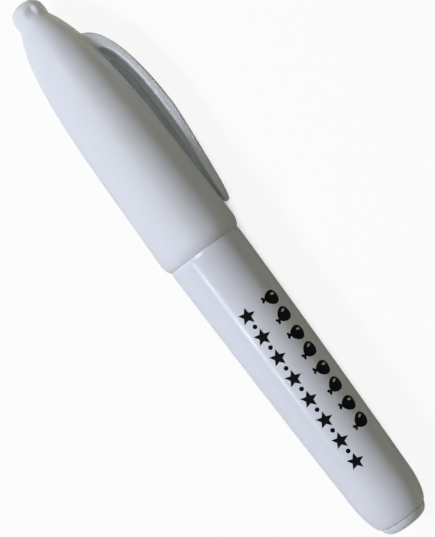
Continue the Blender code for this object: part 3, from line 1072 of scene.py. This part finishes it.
@dataclass
class Valve:
    """Valve behind the nib: rubber seat, stem and spring. Its cage stays as the CAD node.

    Attributes are stations along X and radii in millimetres, the number of coils and of the steps
    in each, how much the end coils close up, and the share of its length that the spring keeps.
    """

    seat_front: float = 58.3
    seat_back: float = 56.6
    seat_radius: float = 3.3
    seat_hole: float = 1.4
    stem_front: float = 62.4
    stem_radius: float = 1.0
    head_front: float = 55.5
    head_back: float = 54.5
    head_radius: float = 2.1
    tail_radius: float = 0.65
    tail_end: float = 46.0
    coil_start: float = 48.0
    coil_end: float = 54.0
    coil_radius: float = 1.45
    wire_radius: float = 0.2
    coils: int = 6
    coil_steps: int = 40
    coil_ease: float = 0.08
    spring_anchor: float = 47.5
    spring_keep: float = 0.76

    def seat(self) -> Skin:
        """Washer with rounded edges.

        Returns:
            Its skin.
        """
        corners = (
            (self.seat_front, self.seat_hole, Round.EASED),
            (self.seat_front, self.seat_radius, Round.SOFT),
            (self.seat_back, self.seat_radius, Round.SOFT),
            (self.seat_back, self.seat_hole, Round.EASED),
        )
        return turned(filleted(corners), looped=True)

    def stem(self) -> Skin:
        """Rod with a conical head and a thinner tail.

        Returns:
            Its skin.
        """
        corners = (
            (self.stem_front, 0.0, Round.SHARP),
            (self.stem_front, self.stem_radius, Round.SOFT),
            (self.seat_back, self.stem_radius, Round.SOFT),
            (self.head_front, self.head_radius, Round.EASED),
            (self.head_back, self.head_radius, Round.EASED),
            (self.head_back, self.tail_radius, Round.EASED),
            (self.tail_end, self.tail_radius, Round.SOFT),
            (self.tail_end, 0.0, Round.SHARP),
        )
        return turned(filleted(corners))

    def spring(self) -> Skin:
        """Round wire along a helix whose pitch eases at both ends.

        With s from 0 to 1, the turn is 2 pi coils s, and the station goes with
        s - ease sin(2 pi s), which closes the end coils up a little.

        Returns:
            Its skin.
        """
        share = np.linspace(0.0, 1.0, self.coils * self.coil_steps + 1)
        turn = 2 * pi * self.coils * share
        eased = share - np.sin(2 * pi * share) * self.coil_ease
        x = self.coil_start + (self.coil_end - self.coil_start) * eased
        y, z = self.coil_radius * np.cos(turn), self.coil_radius * np.sin(turn)
        return tube(np.column_stack([x, y, z]), self.wire_radius)

    def build(self, cage: Object, rubber: Material, acetal: Material) -> None:
        """Builds seat, stem and spring, and dresses the cage.

        Args:
            cage: CAD node of the cage.
            rubber: Finish of the seat.
            acetal: Finish of the stem and the cage.
        """
        fit(piece("seat_washer", [self.seat()], rubber), Body.BARREL, Slot.RUBBER, "valve_seat")
        fit(piece("stem_plunger", [self.stem()], acetal), Body.NIB, Slot.ACETAL, "valve_stem")
        coil = piece("closing_spring", [self.spring()], DRAWN_STEEL.material())
        fit(coil, Body.BARREL, Slot.STEEL, "valve_spring")
        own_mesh(coil)
        cage.data.materials.clear()
        cage.data.materials.append(acetal)
        LOG.info("%s keeps its CAD shape", cage.name)


@dataclass
class MixingBall:
    """Loose steel ball in the ink chamber. Sizes are in millimetres."""

    radius: float = 2.75
    middle: Triple = (8.95, 0.0, -1.212)
    steps: int = 48

    def build(self, finish: Material) -> None:
        """Builds the ball as a half circle turned about X and moved to its place.

        Args:
            finish: Its steel.
        """
        angle = np.linspace(0.0, pi, self.steps + 1)
        half = np.column_stack([self.radius * np.cos(angle), self.radius * np.sin(angle)])
        half[[0, -1], 1] = 0.0
        ball = turned(half)
        poles = (np.asarray(pole) + self.middle for pole in (ball.front, ball.back))
        moved = Skin(ball.rings + np.asarray(self.middle), False, *poles)
        fit(piece("loose_ball", [moved], finish), Body.BALL, Slot.STEEL, "mixing_ball")


# Cap


@dataclass
class Clip:
    """Bowed clip, drawn in its own plane as (station from the cap's mouth, height above the axis).

    A pair holds the value of the inner side and that of the outer side. Lengths are in millimetres.

    Attributes:
        roll: How far it points below level, in degrees.
        width: Its width.
        edge: Radius of its long edges.
        edge_limit: Most that an edge takes of half the thickness or half the width.
        crown: How much lower the back's edges lie than its middle.
        plan_round: Length over which the free end is rounded.
        plan_taper: Share of its width that it has lost on the way from the crest to the free end.
        tip: Station of the free end.
        tip_heights: Heights where the free end begins to round.
        tip_reach: How long the curves' handles are there.
        tip_rise: How far those handles rise.
        crest: Station of the highest point.
        crest_heights: Heights there.
        crest_reach: How long the curves' handles are there towards the root.
        free_reach: How long they are towards the free end.
        roots: Stations where the sides meet the nose.
        root_heights: Heights to which the sides run into the nose.
        root_drops: How far below the crest the handles of the root end.
    """

    roll: float = 27.93
    width: float = 5.5
    edge: float = 0.42
    edge_limit: float = 0.96
    crown: float = 0.12
    plan_round: float = 4.0
    plan_taper: float = 0.25
    tip: float = 4.0
    tip_heights: Pair = (7.17, 8.07)
    tip_reach: Pair = (6.0, 3.0)
    tip_rise: Pair = (0.0, 0.5)
    crest: float = 20.9
    crest_heights: Pair = (8.07, 9.62)
    crest_reach: float = 6.3
    free_reach: Pair = (6.0, 1.5)
    roots: Pair = (35.2, 38.25)
    root_heights: Pair = (4.2, 3.5)
    root_drops: Pair = (0.3, 1.0)

    def sides(self) -> tuple[Array, Array]:
        """Matched points of the outer and the inner side, from the root to the free end.

        Each side is a Bezier curve from the root to the crest and one from the crest to the tip.
        The stretch over which the free end narrows is read off them at stations that follow
        tip + plan_round (1 - sin(b)), and the end itself is a half circle.

        Returns:
            Rows of (station, height) for the outer and the inner side.
        """
        straight_steps, bend_steps = 48, 32
        low, high = self.tip_heights
        half = (high - low) / 2
        start = self.tip + half
        narrow = self.tip + self.plan_round
        bend = np.linspace(0.0, pi / 2, bend_steps + 1)[:-1]
        straight = np.linspace(self.crest, narrow, straight_steps + 1)[1:-1]
        station = np.concatenate([straight, self.tip + self.plan_round * (1.0 - np.sin(bend))])
        rise = np.sqrt(np.clip(half**2 - np.clip(start - station, 0.0, half) ** 2, 0.0, None))
        joined = []
        for side, sign in ((1, 1.0), (0, -1.0)):
            crest = (self.crest, self.crest_heights[side])
            tip = (start, self.tip_heights[side])
            rooted = cubic(
                (self.roots[side], self.root_heights[side]),
                (self.roots[side], crest[1] - self.root_drops[side]),
                (self.crest + self.crest_reach, crest[1]),
                crest,
                steps=90,
            )
            free = cubic(
                crest,
                (self.crest - self.free_reach[side], crest[1]),
                (start + self.tip_reach[side], tip[1] + self.tip_rise[side]),
                tip,
                steps=200,
            )
            curve = np.interp(station, free[::-1, 0], free[::-1, 1])
            height = np.where(station < start, (low + high) / 2 + sign * rise, curve)
            joined.append(np.vstack([rooted, np.column_stack([station, height])]))
        return joined[0], joined[1]

    def section(self) -> Array:
        """Rounded rectangle whose sizes are left open.

        A point of a cross-section with half sizes A and B and edge radius e lies at
        (A - e) * corner across + e * round across, and in the same way along its width.

        Returns:
            Rows of (corner across, corner along, round across, round along).
        """
        bend_points, thick_points, wide_points = 8, 6, 18
        signs = np.array([(1.0, 1.0), (-1.0, 1.0), (-1.0, -1.0), (1.0, -1.0)])
        rows = []
        for number, (sign, following) in enumerate(zip(signs, np.roll(signs, -1, axis=0))):
            turn = np.radians(90.0 * number + np.linspace(0.0, 90.0, bend_points))
            corner = np.broadcast_to(sign, (bend_points, 2))
            rows.append(np.column_stack([corner, np.cos(turn), np.sin(turn)]))
            count = wide_points if number % 2 else thick_points
            between = np.linspace(0.0, 1.0, count)[1:-1, None]
            flat = np.broadcast_to((np.cos(turn[-1]), np.sin(turn[-1])), (len(between), 2))
            rows.append(np.column_stack([sign + (following - sign) * between, flat]))
        return np.vstack(rows)

    def skin(self, mouth: float) -> Skin:
        """Carries the rounded rectangle along the clip, between its outer and inner side.

        Half the width is width / 2 (1 - taper s^2 (3 - 2 s)) sqrt(1 - n^2), where s goes from zero
        at the crest to one at the tip, and n does so over the rounded end. The back's crown lowers
        a point by crown (2 w / width)^2 at the distance w from its middle.

        Args:
            mouth: Station of the cap's mouth.

        Returns:
            The clip's closed skin in the frame.
        """
        outer, inner = self.sides()
        half_thick = np.linalg.norm(outer - inner, axis=1)[:, None] / 2
        share = np.clip((self.tip + self.plan_round - outer[:, :1]) / self.plan_round, 0.0, 1.0)
        lost = np.clip((self.crest - outer[:, :1]) / (self.crest - self.tip), 0.0, 1.0)
        taper = 1.0 - self.plan_taper * lost**2 * (3.0 - 2.0 * lost)
        half_wide = self.width / 2 * taper * np.sqrt(1.0 - share**2)
        edge = np.minimum(self.edge, self.edge_limit * np.minimum(half_thick, half_wide))
        corner_a, corner_b, round_a, round_b = self.section().T
        across = (half_thick - edge) * corner_a + edge * round_a
        along = (half_wide - edge) * corner_b + edge * round_b
        back = np.clip(across / half_thick, 0.0, 1.0)
        across -= self.crown * (along / (self.width / 2)) ** 2 * back
        spread = ((outer - inner) / (2 * half_thick))[:, None] * across[..., None]
        flat = ((outer + inner) / 2)[:, None] + spread
        out = np.array([0.0, -cos(radians(self.roll)), -sin(radians(self.roll))])
        beside = np.cross((1.0, 0.0, 0.0), out)
        rings = out * flat[..., 1:] + beside * along[..., None]
        rings[..., 0] = mouth + flat[..., 0]
        end = out * (sum(self.tip_heights) / 2)
        end[0] = mouth + self.tip
        return Skin(rings, back=end)


@dataclass
class Cap:
    """Satin cap with a knob on its nose, in one moulding with its clip.

    Attributes are stations along X, radii and other lengths, in millimetres. The lip's angle and
    the dimple's second value are in degrees, the latter from the top towards the clip. The neck's
    trim, the knob's power, the dimple's tilt, and the rounds and the pull that soften the clip's
    root are plain numbers.
    """

    mouth: float = 52.5
    mouth_round: float = 0.18
    rim_radius: float = 6.3
    lip: float = 54.5
    lip_radius: float = 6.92
    lip_angle: float = 41.0
    bore: float = 5.75
    bore_end: float = 61.5
    wall: float = 1.25
    hollow_end: float = 91.2
    body: Pair = (74.7, 6.42)
    body_handle: Pair = (82.7, 6.0)
    neck_handle: Pair = (91.6, 5.53)
    neck: Pair = (96.6, 2.58)
    neck_trim: float = 0.035
    waist: Pair = (96.5, 2.62)
    knob: Pair = (97.5, 2.74)
    knob_end: float = 100.0
    knob_power: float = 0.78
    dimple: Pair = (97.9, 25.0)
    dimple_size: Pair = (0.72, 1.0)
    dimple_depth: float = 0.32
    dimple_tilt: float = 0.8
    root_reach: float = 0.6
    root_rounds: int = 60
    root_pull: float = 0.5

    def side(self) -> Array:
        """Outer side from the knob to the mouth.

        The knob's dome is x = knob + length cos(a)^power, r = radius sin(a)^power. A rounded waist
        leads to the nose, a Bezier curve, and a straight taper leads on to the rounded lip.

        Returns:
            Rows of (x, radius).
        """
        dome_steps = 28
        station, radius = self.knob
        length = self.knob_end - station
        angle = np.linspace(0.0, pi / 2, dome_steps + 1)
        along = np.cos(angle).clip(0.0) ** self.knob_power
        across = np.sin(angle) ** self.knob_power
        dome = np.column_stack([station + length * along, radius * across])
        handles = self.neck_handle, self.body_handle
        nose = cubic(self.neck, *handles, self.body, steps=120, trim=self.neck_trim)
        lip = (self.lip, self.lip_radius)
        body = line(self.body, lip, steps=60)
        rim = arc(lip, (self.mouth, self.rim_radius), self.lip_angle, steps=16)
        waist = (*self.waist, Round.FULL)
        return filleted([plain(dome), waist, plain(nose), plain(body[1:-1]), plain(rim)])

    def shell(self) -> Skin:
        """Outer side, mouth, bore and hollow turned about the axis, with a dimple in the knob.

        The gate's dimple takes depth * (1 + tilt * b) * exp(-a^4 - b^4) off the radius, where a and
        b are the distances from its middle along and around the knob, over its half length and half
        breadth.

        Returns:
            The skin, without the clip.
        """
        hollow_points = 40
        side = self.side()
        x = np.linspace(self.bore_end, self.hollow_end, hollow_points)
        hollow = np.column_stack([x, np.interp(x, side[::-1, 0], side[::-1, 1]) - self.wall])
        profile = filleted(
            [
                plain(side),
                (self.mouth, self.bore, self.mouth_round),
                (self.bore_end, self.bore, Round.CRISP),
                plain(hollow[:-1]),
                (*hollow[-1], Round.FULL),
                (self.hollow_end, 0.0, Round.SHARP),
            ]
        )
        made = turned(profile, around=FINE_TURN)
        rings = made.rings.copy()
        radius = np.hypot(rings[..., 1], rings[..., 2])
        angle = np.arctan2(-rings[..., 1], rings[..., 2]) - radians(self.dimple[1])
        along = (rings[..., 0] - self.dimple[0]) / self.dimple_size[0]
        across = angle * self.knob[1] / self.dimple_size[1]
        floor = self.dimple_depth * np.clip(1.0 + self.dimple_tilt * across, 0.0, None)
        sunk = np.where(rings[..., 0] > self.neck[0], floor * np.exp(-(along**4) - across**4), 0.0)
        rings[..., 1:] *= (1.0 - sunk / radius)[..., None]
        return Skin(rings, False, made.front, made.back)

    def unite(self, shell: Object, clip: Object) -> Array:
        """Joins the clip to the shell with an exact Boolean.

        Args:
            shell: Turned part of the cap. It becomes the whole cap.
            clip: Clip, which is removed.

        Returns:
            For the shell and for the clip, which points of the cap its faces touch.
        """
        for part, index in ((shell, 0), (clip, 1)):
            faces = part.data.polygons
            part.data.materials.append(part.data.materials[0])
            faces.foreach_set("material_index", np.full(len(faces), index, np.int32))
        union = shell.modifiers.new("Union", "BOOLEAN")
        union.operation, union.solver, union.object = "UNION", "EXACT", clip
        graph = bpy.context.evaluated_depsgraph_get()
        mesh = bpy.data.meshes.new_from_object(shell.evaluated_get(graph), depsgraph=graph)
        shell.modifiers.clear()
        shell.data = mesh
        bpy.data.objects.remove(clip)

        corners, sizes = np.empty(len(mesh.loops), np.int32), np.empty(len(mesh.polygons), np.int32)
        owner = np.empty_like(sizes)
        mesh.loops.foreach_get("vertex_index", corners)
        mesh.polygons.foreach_get("loop_total", sizes)
        mesh.polygons.foreach_get("material_index", owner)
        touched = np.zeros((2, len(mesh.vertices)), bool)
        touched[np.repeat(owner, sizes), corners] = True
        mesh.polygons.foreach_set("material_index", np.zeros_like(owner))
        mesh.materials.pop(index=1)
        return touched

    def soften(self, mesh: bpy.types.Mesh, touched: Array) -> None:
        """Rounds the crease between shell and clip.

        Points nearer to the crease than the reach move towards the mean of their neighbours, by
        pull (1 - distance / reach) of the way, round after round, which leaves a hollow fillet.

        Args:
            mesh: Mesh of the whole cap.
            touched: Which of its points the faces of the shell and of the clip touch.
        """
        count = len(mesh.vertices)
        points, edges = np.empty(count * 3), np.empty(len(mesh.edges) * 2, np.int32)
        mesh.vertices.foreach_get("co", points)
        mesh.edges.foreach_get("vertices", edges)
        points, edges = points.reshape(-1, 3), edges.reshape(-1, 2)
        crease = points[touched.all(axis=0)]
        reach = self.root_reach * MM
        above, below = points > crease.min(axis=0) - reach, points < crease.max(axis=0) + reach
        near = np.flatnonzero((above & below).all(axis=1))
        gap = np.linalg.norm(points[near, None] - crease[None], axis=2).min(axis=1)
        pull = np.zeros(count)
        pull[near] = self.root_pull * np.clip(1.0 - gap / reach, 0.0, 1.0)
        edges = edges[pull[edges].max(axis=1) > 0.0]
        here, there = np.concatenate([edges, edges[:, ::-1]]).T
        degree = np.maximum(np.bincount(here, minlength=count), 1)
        for _ in range(self.root_rounds):
            mean = [np.bincount(here, points[there, axis], count) / degree for axis in range(3)]
            points += pull[:, None] * (np.column_stack(mean) - points)
        mesh.vertices.foreach_set("co", points.ravel())
        mesh.update()
        mesh.shade_smooth()
        mesh.set_sharp_from_angle(angle=radians(CREASE))

    def build(self, clip: Clip, finish: Material) -> None:
        """Builds the cap with its clip.

        Args:
            clip: Clip in one with the cap.
            finish: Finish of both.
        """
        shell = piece("pull_off_cap", [self.shell()], finish)
        touched = self.unite(shell, piece("clip", [clip.skin(self.mouth)], finish))
        self.soften(shell.data, touched)
        fit(shell, Body.CAP, Slot.WHITE_SATIN, "cap")


@dataclass
class InnerCap:
    """Liner along the cap's inside that seals on the holder's land. Sizes are in millimetres."""

    cap: Cap
    mouth: float = 67.0
    end: float = 90.5
    play: float = 0.3
    wall: float = 0.9
    seal_radius: float = 4.0
    seal_end: float = 69.5

    def build(self, finish: Material) -> None:
        """Builds the liner: the cap's side less wall and play outside, less its own wall inside.

        Args:
            finish: Its polyethylene.
        """
        outer_points, inner_points = 60, 50
        floor = self.end - self.wall
        side = self.cap.side()[::-1]
        x = np.linspace(self.end, self.mouth, outer_points)
        radius = np.interp(x, side[:, 0], side[:, 1]) - self.cap.wall - self.play
        outer = np.column_stack([x, radius])
        x = np.linspace(self.seal_end, floor, inner_points)
        limit = np.interp(x, outer[::-1, 0], outer[::-1, 1]) - self.wall
        inner = np.column_stack([x, np.minimum(self.seal_radius, limit)])
        profile = filleted(
            [
                (self.end, 0.0, Round.SHARP),
                (*outer[0], Round.ROUND),
                plain(outer[1:-1]),
                (*outer[-1], Round.SOFT),
                (self.mouth, self.seal_radius, Round.BLUNT),
                plain(inner[:-1]),
                (*inner[-1], Round.ROUND),
                (floor, 0.0, Round.SHARP),
            ]
        )
        fit(piece("sealing_liner", [turned(profile)], finish), Body.CAP, Slot.NATURAL, "inner_cap")


# Studio


@dataclass(frozen=True)
class Lamp:
    """A soft rectangular lamp that faces the middle of the marker.

    Attributes:
        name: Name of the lamp.
        station: Place of its middle along X, in millimetres.
        height: Its elevation in degrees, on the side away from the clip.
        distance: Its distance from the marker's axis in metres.
        size: Its length along X and its breadth, in metres.
        power: Power in watts.
        colour: Colour of its light.
        lights: Whether it lights surfaces.
        shows: Whether glossy surfaces mirror it.
        aim: Station of the point on the axis that it faces, in millimetres.
    """

    name: str
    station: float
    height: float
    distance: float
    size: Pair
    power: float
    colour: str
    lights: bool
    shows: bool
    aim: float = 50.0

    def build(self) -> None:
        """Hangs the lamp."""
        data = bpy.data.lights.new(self.name, "AREA")
        data.shape = "RECTANGLE"
        data.size, data.size_y = self.size
        data.energy = self.power
        data.color = linear(self.colour)[:3]
        hung = bpy.data.objects.new(self.name, data)
        bpy.context.scene.collection.objects.link(hung)
        angle = radians(self.height)
        hung.location = (self.station * MM, self.distance * cos(angle), self.distance * sin(angle))
        way = hung.location - Vector((self.aim * MM, 0.0, 0.0))
        hung.rotation_euler = way.to_track_quat("Z", "Y").to_euler()
        hung.visible_diffuse, hung.visible_glossy = self.lights, self.shows
        LOG.info("%s hangs %.2f m away", self.name, way.length)


# Square lamp past the cap's end: cool, and the only one that lights the marker.
SOFT_LAMP = Lamp(
    "soft_lamp", 145.0, 59.5, 0.45, (0.08, 0.08), 1.45, "#E7EDFF", lights=True, shows=False
)
# Narrow strip that the glossy barrel mirrors as one thin bright line.
STRIP_LAMP = Lamp(
    "strip_lamp", 0.0, 60.5, 0.8, (0.13, 0.05), 1.32, "#F4F7FF", lights=False, shows=True
)
# Broad lamp far past the cap's end. It shows as a thin arc on the barrel's shoulder and as the
# nose's sheen.
END_LAMP = Lamp(
    "end_lamp", 300.0, 84.0, 0.38, (0.16, 0.3), 3.6, "#F4F7FF", lights=False, shows=True
)


@dataclass
class Studio:
    """Table, lamps, surroundings and camera.

    Attributes:
        lamps: Lamps of the studio.
        table: Height of the table in millimetres.
        table_size: Length of its sides in metres.
        table_steps: Number of squares along a side.
        table_colour: Colour of the light that the table throws onto the marker from beside it.
        end_colour: Colour of the light that it throws onto the marker from beyond its ends.
        side_middle: Middle along X of the stretch beside the marker, in millimetres.
        side_reach: How far from there the table's colour begins to change, and where it has become
            that of the ends, in millimetres.
        sky_reach: How far round a place on the table what covers the sky counts, in millimetres.
        sky_samples: Number of directions that are tried for that.
        sky_range: Shares of open sky up to which a place is in a hollow and from which it isn't.
        shadow_share: How much of the marker's shadow shows on the white table.
        hollow_share: How much of it shows in the narrow hollows under the marker.
        hollow_painted_shade: Colour of painted shade on the table that is seen there, darker than
            white.
        painted_hollow_glow_colour: Colour of a painted glow that the paper gives off there.
        painted_hollow_glow_strength: Strength of that painted glow, which lights the marker.
        mirror_share: How much of the shadow shows in reflections.
        backdrop_colour: Colour of the backdrop, the tone that the far table has.
        air_colour: Colour of the light from all round.
        air_strength: Its strength.
        around: How far the camera stands round the marker's axis from straight above, towards the
            clip, in degrees.
        camera_place: Camera's place in millimetres before it goes round.
        camera_turn: Camera's Euler angles in degrees before it goes round.
        lens: Focal length in millimetres.
        sensor: Width of the sensor in millimetres.
        clip_range: Nearest and farthest distance that the camera sees, in metres.
    """

    lamps: tuple[Lamp, ...] = (SOFT_LAMP, STRIP_LAMP, END_LAMP)
    table: float = -6.93
    table_size: float = 4.0
    table_steps: int = 8
    table_colour: str = "#645B20"
    end_colour: str = "#FFF8DA"
    side_middle: float = 36.0
    side_reach: Pair = (48.0, 64.0)
    sky_reach: float = 30.0
    sky_samples: int = 16
    sky_range: Pair = (0.27, 0.34)
    shadow_share: float = 0.09
    hollow_share: float = 0.95
    hollow_painted_shade: str = "#8E918C"
    painted_hollow_glow_colour: str = "#D2E8E0"
    painted_hollow_glow_strength: float = 0.15
    mirror_share: float = 0.85
    backdrop_colour: str = "#F6F7F7"
    air_colour: str = "#F2F2E6"
    air_strength: float = 0.2
    around: float = 19.0
    camera_place: Triple = (45.142, 0.57, 240.413)
    camera_turn: Triple = (0.80056, 0.45839, -126.74174)
    lens: float = 104.15
    sensor: float = 36.0
    clip_range: Pair = (0.01, 20.0)

    def seen(self, tree: Tree) -> Node:
        """Tells rays that show the background: from the camera, a reflection or through glass.

        Args:
            tree: Node tree that asks.

        Returns:
            Node that gives one for such a ray, and zero for light on its way to a surface.
        """
        rays = add(tree, "LightPath").outputs
        bare = {0: rays["Is Camera Ray"], 1: rays["Is Glossy Ray"]}
        both = {0: add(tree, "Math", bare, operation="MAXIMUM"), 1: rays["Is Transmission Ray"]}
        return add(tree, "Math", both, operation="MAXIMUM")

    def hollow(self, tree: Tree) -> Node:
        """Tells the narrow hollows under the marker, where hardly any sky is in view.

        Args:
            tree: Node tree of the paper.

        Returns:
            Node that gives the share of the shadow that shows, large in a hollow and small outside.
        """
        reach = {"Distance": self.sky_reach * MM}
        sky = add(tree, "AmbientOcclusion", reach, samples=self.sky_samples)
        shares = {
            "Value": sky.outputs["AO"],
            "From Min": self.sky_range[0],
            "From Max": self.sky_range[1],
            "To Min": self.hollow_share,
            "To Max": self.shadow_share,
        }
        return add(tree, "MapRange", shares, interpolation_type="SMOOTHSTEP")

    def tone(self, tree: Tree) -> Socket:
        """Picks the colour of thrown light by the distance along X from the middle of the sides.

        Args:
            tree: Node tree of the paper.

        Returns:
            Socket with the table's colour beside the marker and that of the ends beyond them.
        """
        place = add(tree, "SeparateXYZ", {0: add(tree, "TexCoord").outputs["Object"]})
        along = {0: place.outputs["X"], 1: self.side_middle * MM}
        away = add(
            tree, "Math", {0: add(tree, "Math", along, operation="SUBTRACT")}, operation="ABSOLUTE"
        )
        start, end = self.side_reach
        reach = {"Value": away, "From Min": start * MM, "From Max": end * MM}
        beyond = add(tree, "MapRange", reach, interpolation_type="SMOOTHSTEP")
        tints = {0: beyond, MIX_FROM: linear(self.table_colour), MIX_TO: linear(self.end_colour)}
        return add(tree, "Mix", tints, data_type="RGBA").outputs[MIX_COLOUR]

    def paper(self) -> Material:
        """White seamless paper that keeps the marker's shadow.

        What is seen of it glows white, with a share of plain shaded paper. The share is large in
        the narrow hollows under the marker and in reflections, and small elsewhere, and the paper
        that is seen in the hollows is tinted darker as painted shade. The light that it throws onto
        the marker has one colour beside the marker and another beyond its ends. In the hollows it
        throws back white, with a little painted cool glow of its own, as if the paper were a lamp.

        Returns:
            The material.
        """
        made = bpy.data.materials.new("white seamless paper")
        made.use_nodes = True
        tree = made.node_tree
        tree.nodes.clear()
        share = self.hollow(tree)
        glossy = add(tree, "LightPath").outputs["Is Glossy Ray"]
        mirrored = add(tree, "Math", {0: glossy, 1: self.mirror_share}, operation="MULTIPLY")
        shade = add(tree, "Math", {0: share, 1: mirrored}, operation="MAXIMUM")
        glow = add(tree, "Emission", {"Color": linear(WHITE), "Strength": 1.0})
        # Painted shade: the paper seen in the hollows is tinted darker, by the same share.
        tints = {0: share, MIX_FROM: linear(WHITE), MIX_TO: linear(self.hollow_painted_shade)}
        dim = add(tree, "Mix", tints, data_type="RGBA").outputs[MIX_COLOUR]
        dimmed = add(tree, "BsdfDiffuse", {"Color": dim})
        pale = add(tree, "MixShader", {0: shade, 1: glow, 2: dimmed})
        # Painted glow: the paper in the hollows gives off cool light of its own, though it is no
        # lamp.
        light = {"Color": linear(self.painted_hollow_glow_colour), "Strength": self.painted_hollow_glow_strength}
        lift = add(tree, "Emission", light)
        shaded = add(tree, "BsdfDiffuse", {"Color": linear(WHITE)})
        raised = add(tree, "AddShader", {0: shaded, 1: lift})
        toned = add(tree, "BsdfDiffuse", {"Color": self.tone(tree)})
        thrown = add(tree, "MixShader", {0: share, 1: toned, 2: raised})
        both = add(tree, "MixShader", {0: self.seen(tree), 1: thrown, 2: pale})
        add(tree, "OutputMaterial", {"Surface": both})
        return made

    def build_table(self) -> None:
        """Lays the paper: a square grid at the table's height."""
        count = self.table_steps + 1
        side = np.linspace(-0.5, 0.5, count) * self.table_size
        x, y = np.meshgrid(side, side, indexing="ij")
        points = np.column_stack([x.ravel(), y.ravel(), np.full(x.size, self.table * MM)])
        first = np.arange(count**2).reshape(count, count)[:-1, :-1].reshape(-1, 1)
        faces = first + np.array([0, count, count + 1, 1])
        mesh = bpy.data.meshes.new("paper_table")
        mesh.from_pydata(points.tolist(), [], faces.tolist())
        mesh.materials.append(self.paper())
        table = bpy.data.objects.new("paper_table", mesh)
        bpy.context.scene.collection.objects.link(table)

    def build_light(self) -> None:
        """Hangs the lamps and sets the white surroundings."""
        for lamp in self.lamps:
            lamp.build()
        world = bpy.data.worlds.new("white_surroundings")
        world.use_nodes = True
        tree = world.node_tree
        tree.nodes.clear()
        air, pale = (
            add(tree, "Background", {"Color": linear(colour), "Strength": strength})
            for colour, strength in (
                (self.air_colour, self.air_strength),
                (self.backdrop_colour, 1.0),
            )
        )
        both = add(tree, "MixShader", {0: self.seen(tree), 1: air, 2: pale})
        add(tree, "OutputWorld", {"Surface": both})
        bpy.context.scene.world = world

    def build_camera(self) -> None:
        """Sets the camera up straight above and takes it round the marker's axis to its place."""
        data = bpy.data.cameras.new("camera")
        data.sensor_width = self.sensor
        data.lens = self.lens
        data.clip_start, data.clip_end = self.clip_range
        camera = bpy.data.objects.new("camera", data)
        bpy.context.scene.collection.objects.link(camera)
        turn = Euler([radians(angle) for angle in self.camera_turn])
        above = Matrix.LocRotScale(Vector(self.camera_place) * MM, turn, None)
        camera.matrix_world = Matrix.Rotation(radians(self.around), 4, "X") @ above
        bpy.context.scene.camera = camera

    def build(self) -> None:
        """Builds table, light and camera, and sets the plain view transform."""
        self.build_table()
        self.build_light()
        self.build_camera()
        bpy.context.scene.view_settings.view_transform = "Standard"
        LOG.info("studio stands")


def corners(box: tuple[Vector, Vector]) -> list[list[float]]:
    """Lowest and highest corner of a box as plain lists."""
    return [[float(value) for value in corner] for corner in box]


def main() -> None:
    """Loads the frame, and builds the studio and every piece."""
    logging.basicConfig(level=logging.INFO, format="%(name)s: %(message)s")
    for left_over in list(bpy.data.objects):
        bpy.data.objects.remove(left_over)
    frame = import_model()
    Studio().build()

    gloss = GLOSS_POLYPROPYLENE.material()
    acetal = ACETAL.material()
    barrel, cap = Barrel(), Cap()
    barrel.build(gloss)
    Print(barrel).build(PAD_PRINTED_INK.material())
    TailPlug().build(gloss)
    NibHolder().build(gloss)
    Nib().build(POLYESTER_FIBRE.material())
    Valve().build(frame["nodes"]["valve_cage"], NITRILE_RUBBER.material(), acetal)
    MixingBall().build(LAPPED_STEEL.material())
    cap.build(Clip(), SATIN_POLYPROPYLENE.material())
    InnerCap(cap).build(NATURAL_POLYETHYLENE.material())

    bpy.context.view_layer.update()


if __name__ == "__main__":
    main()
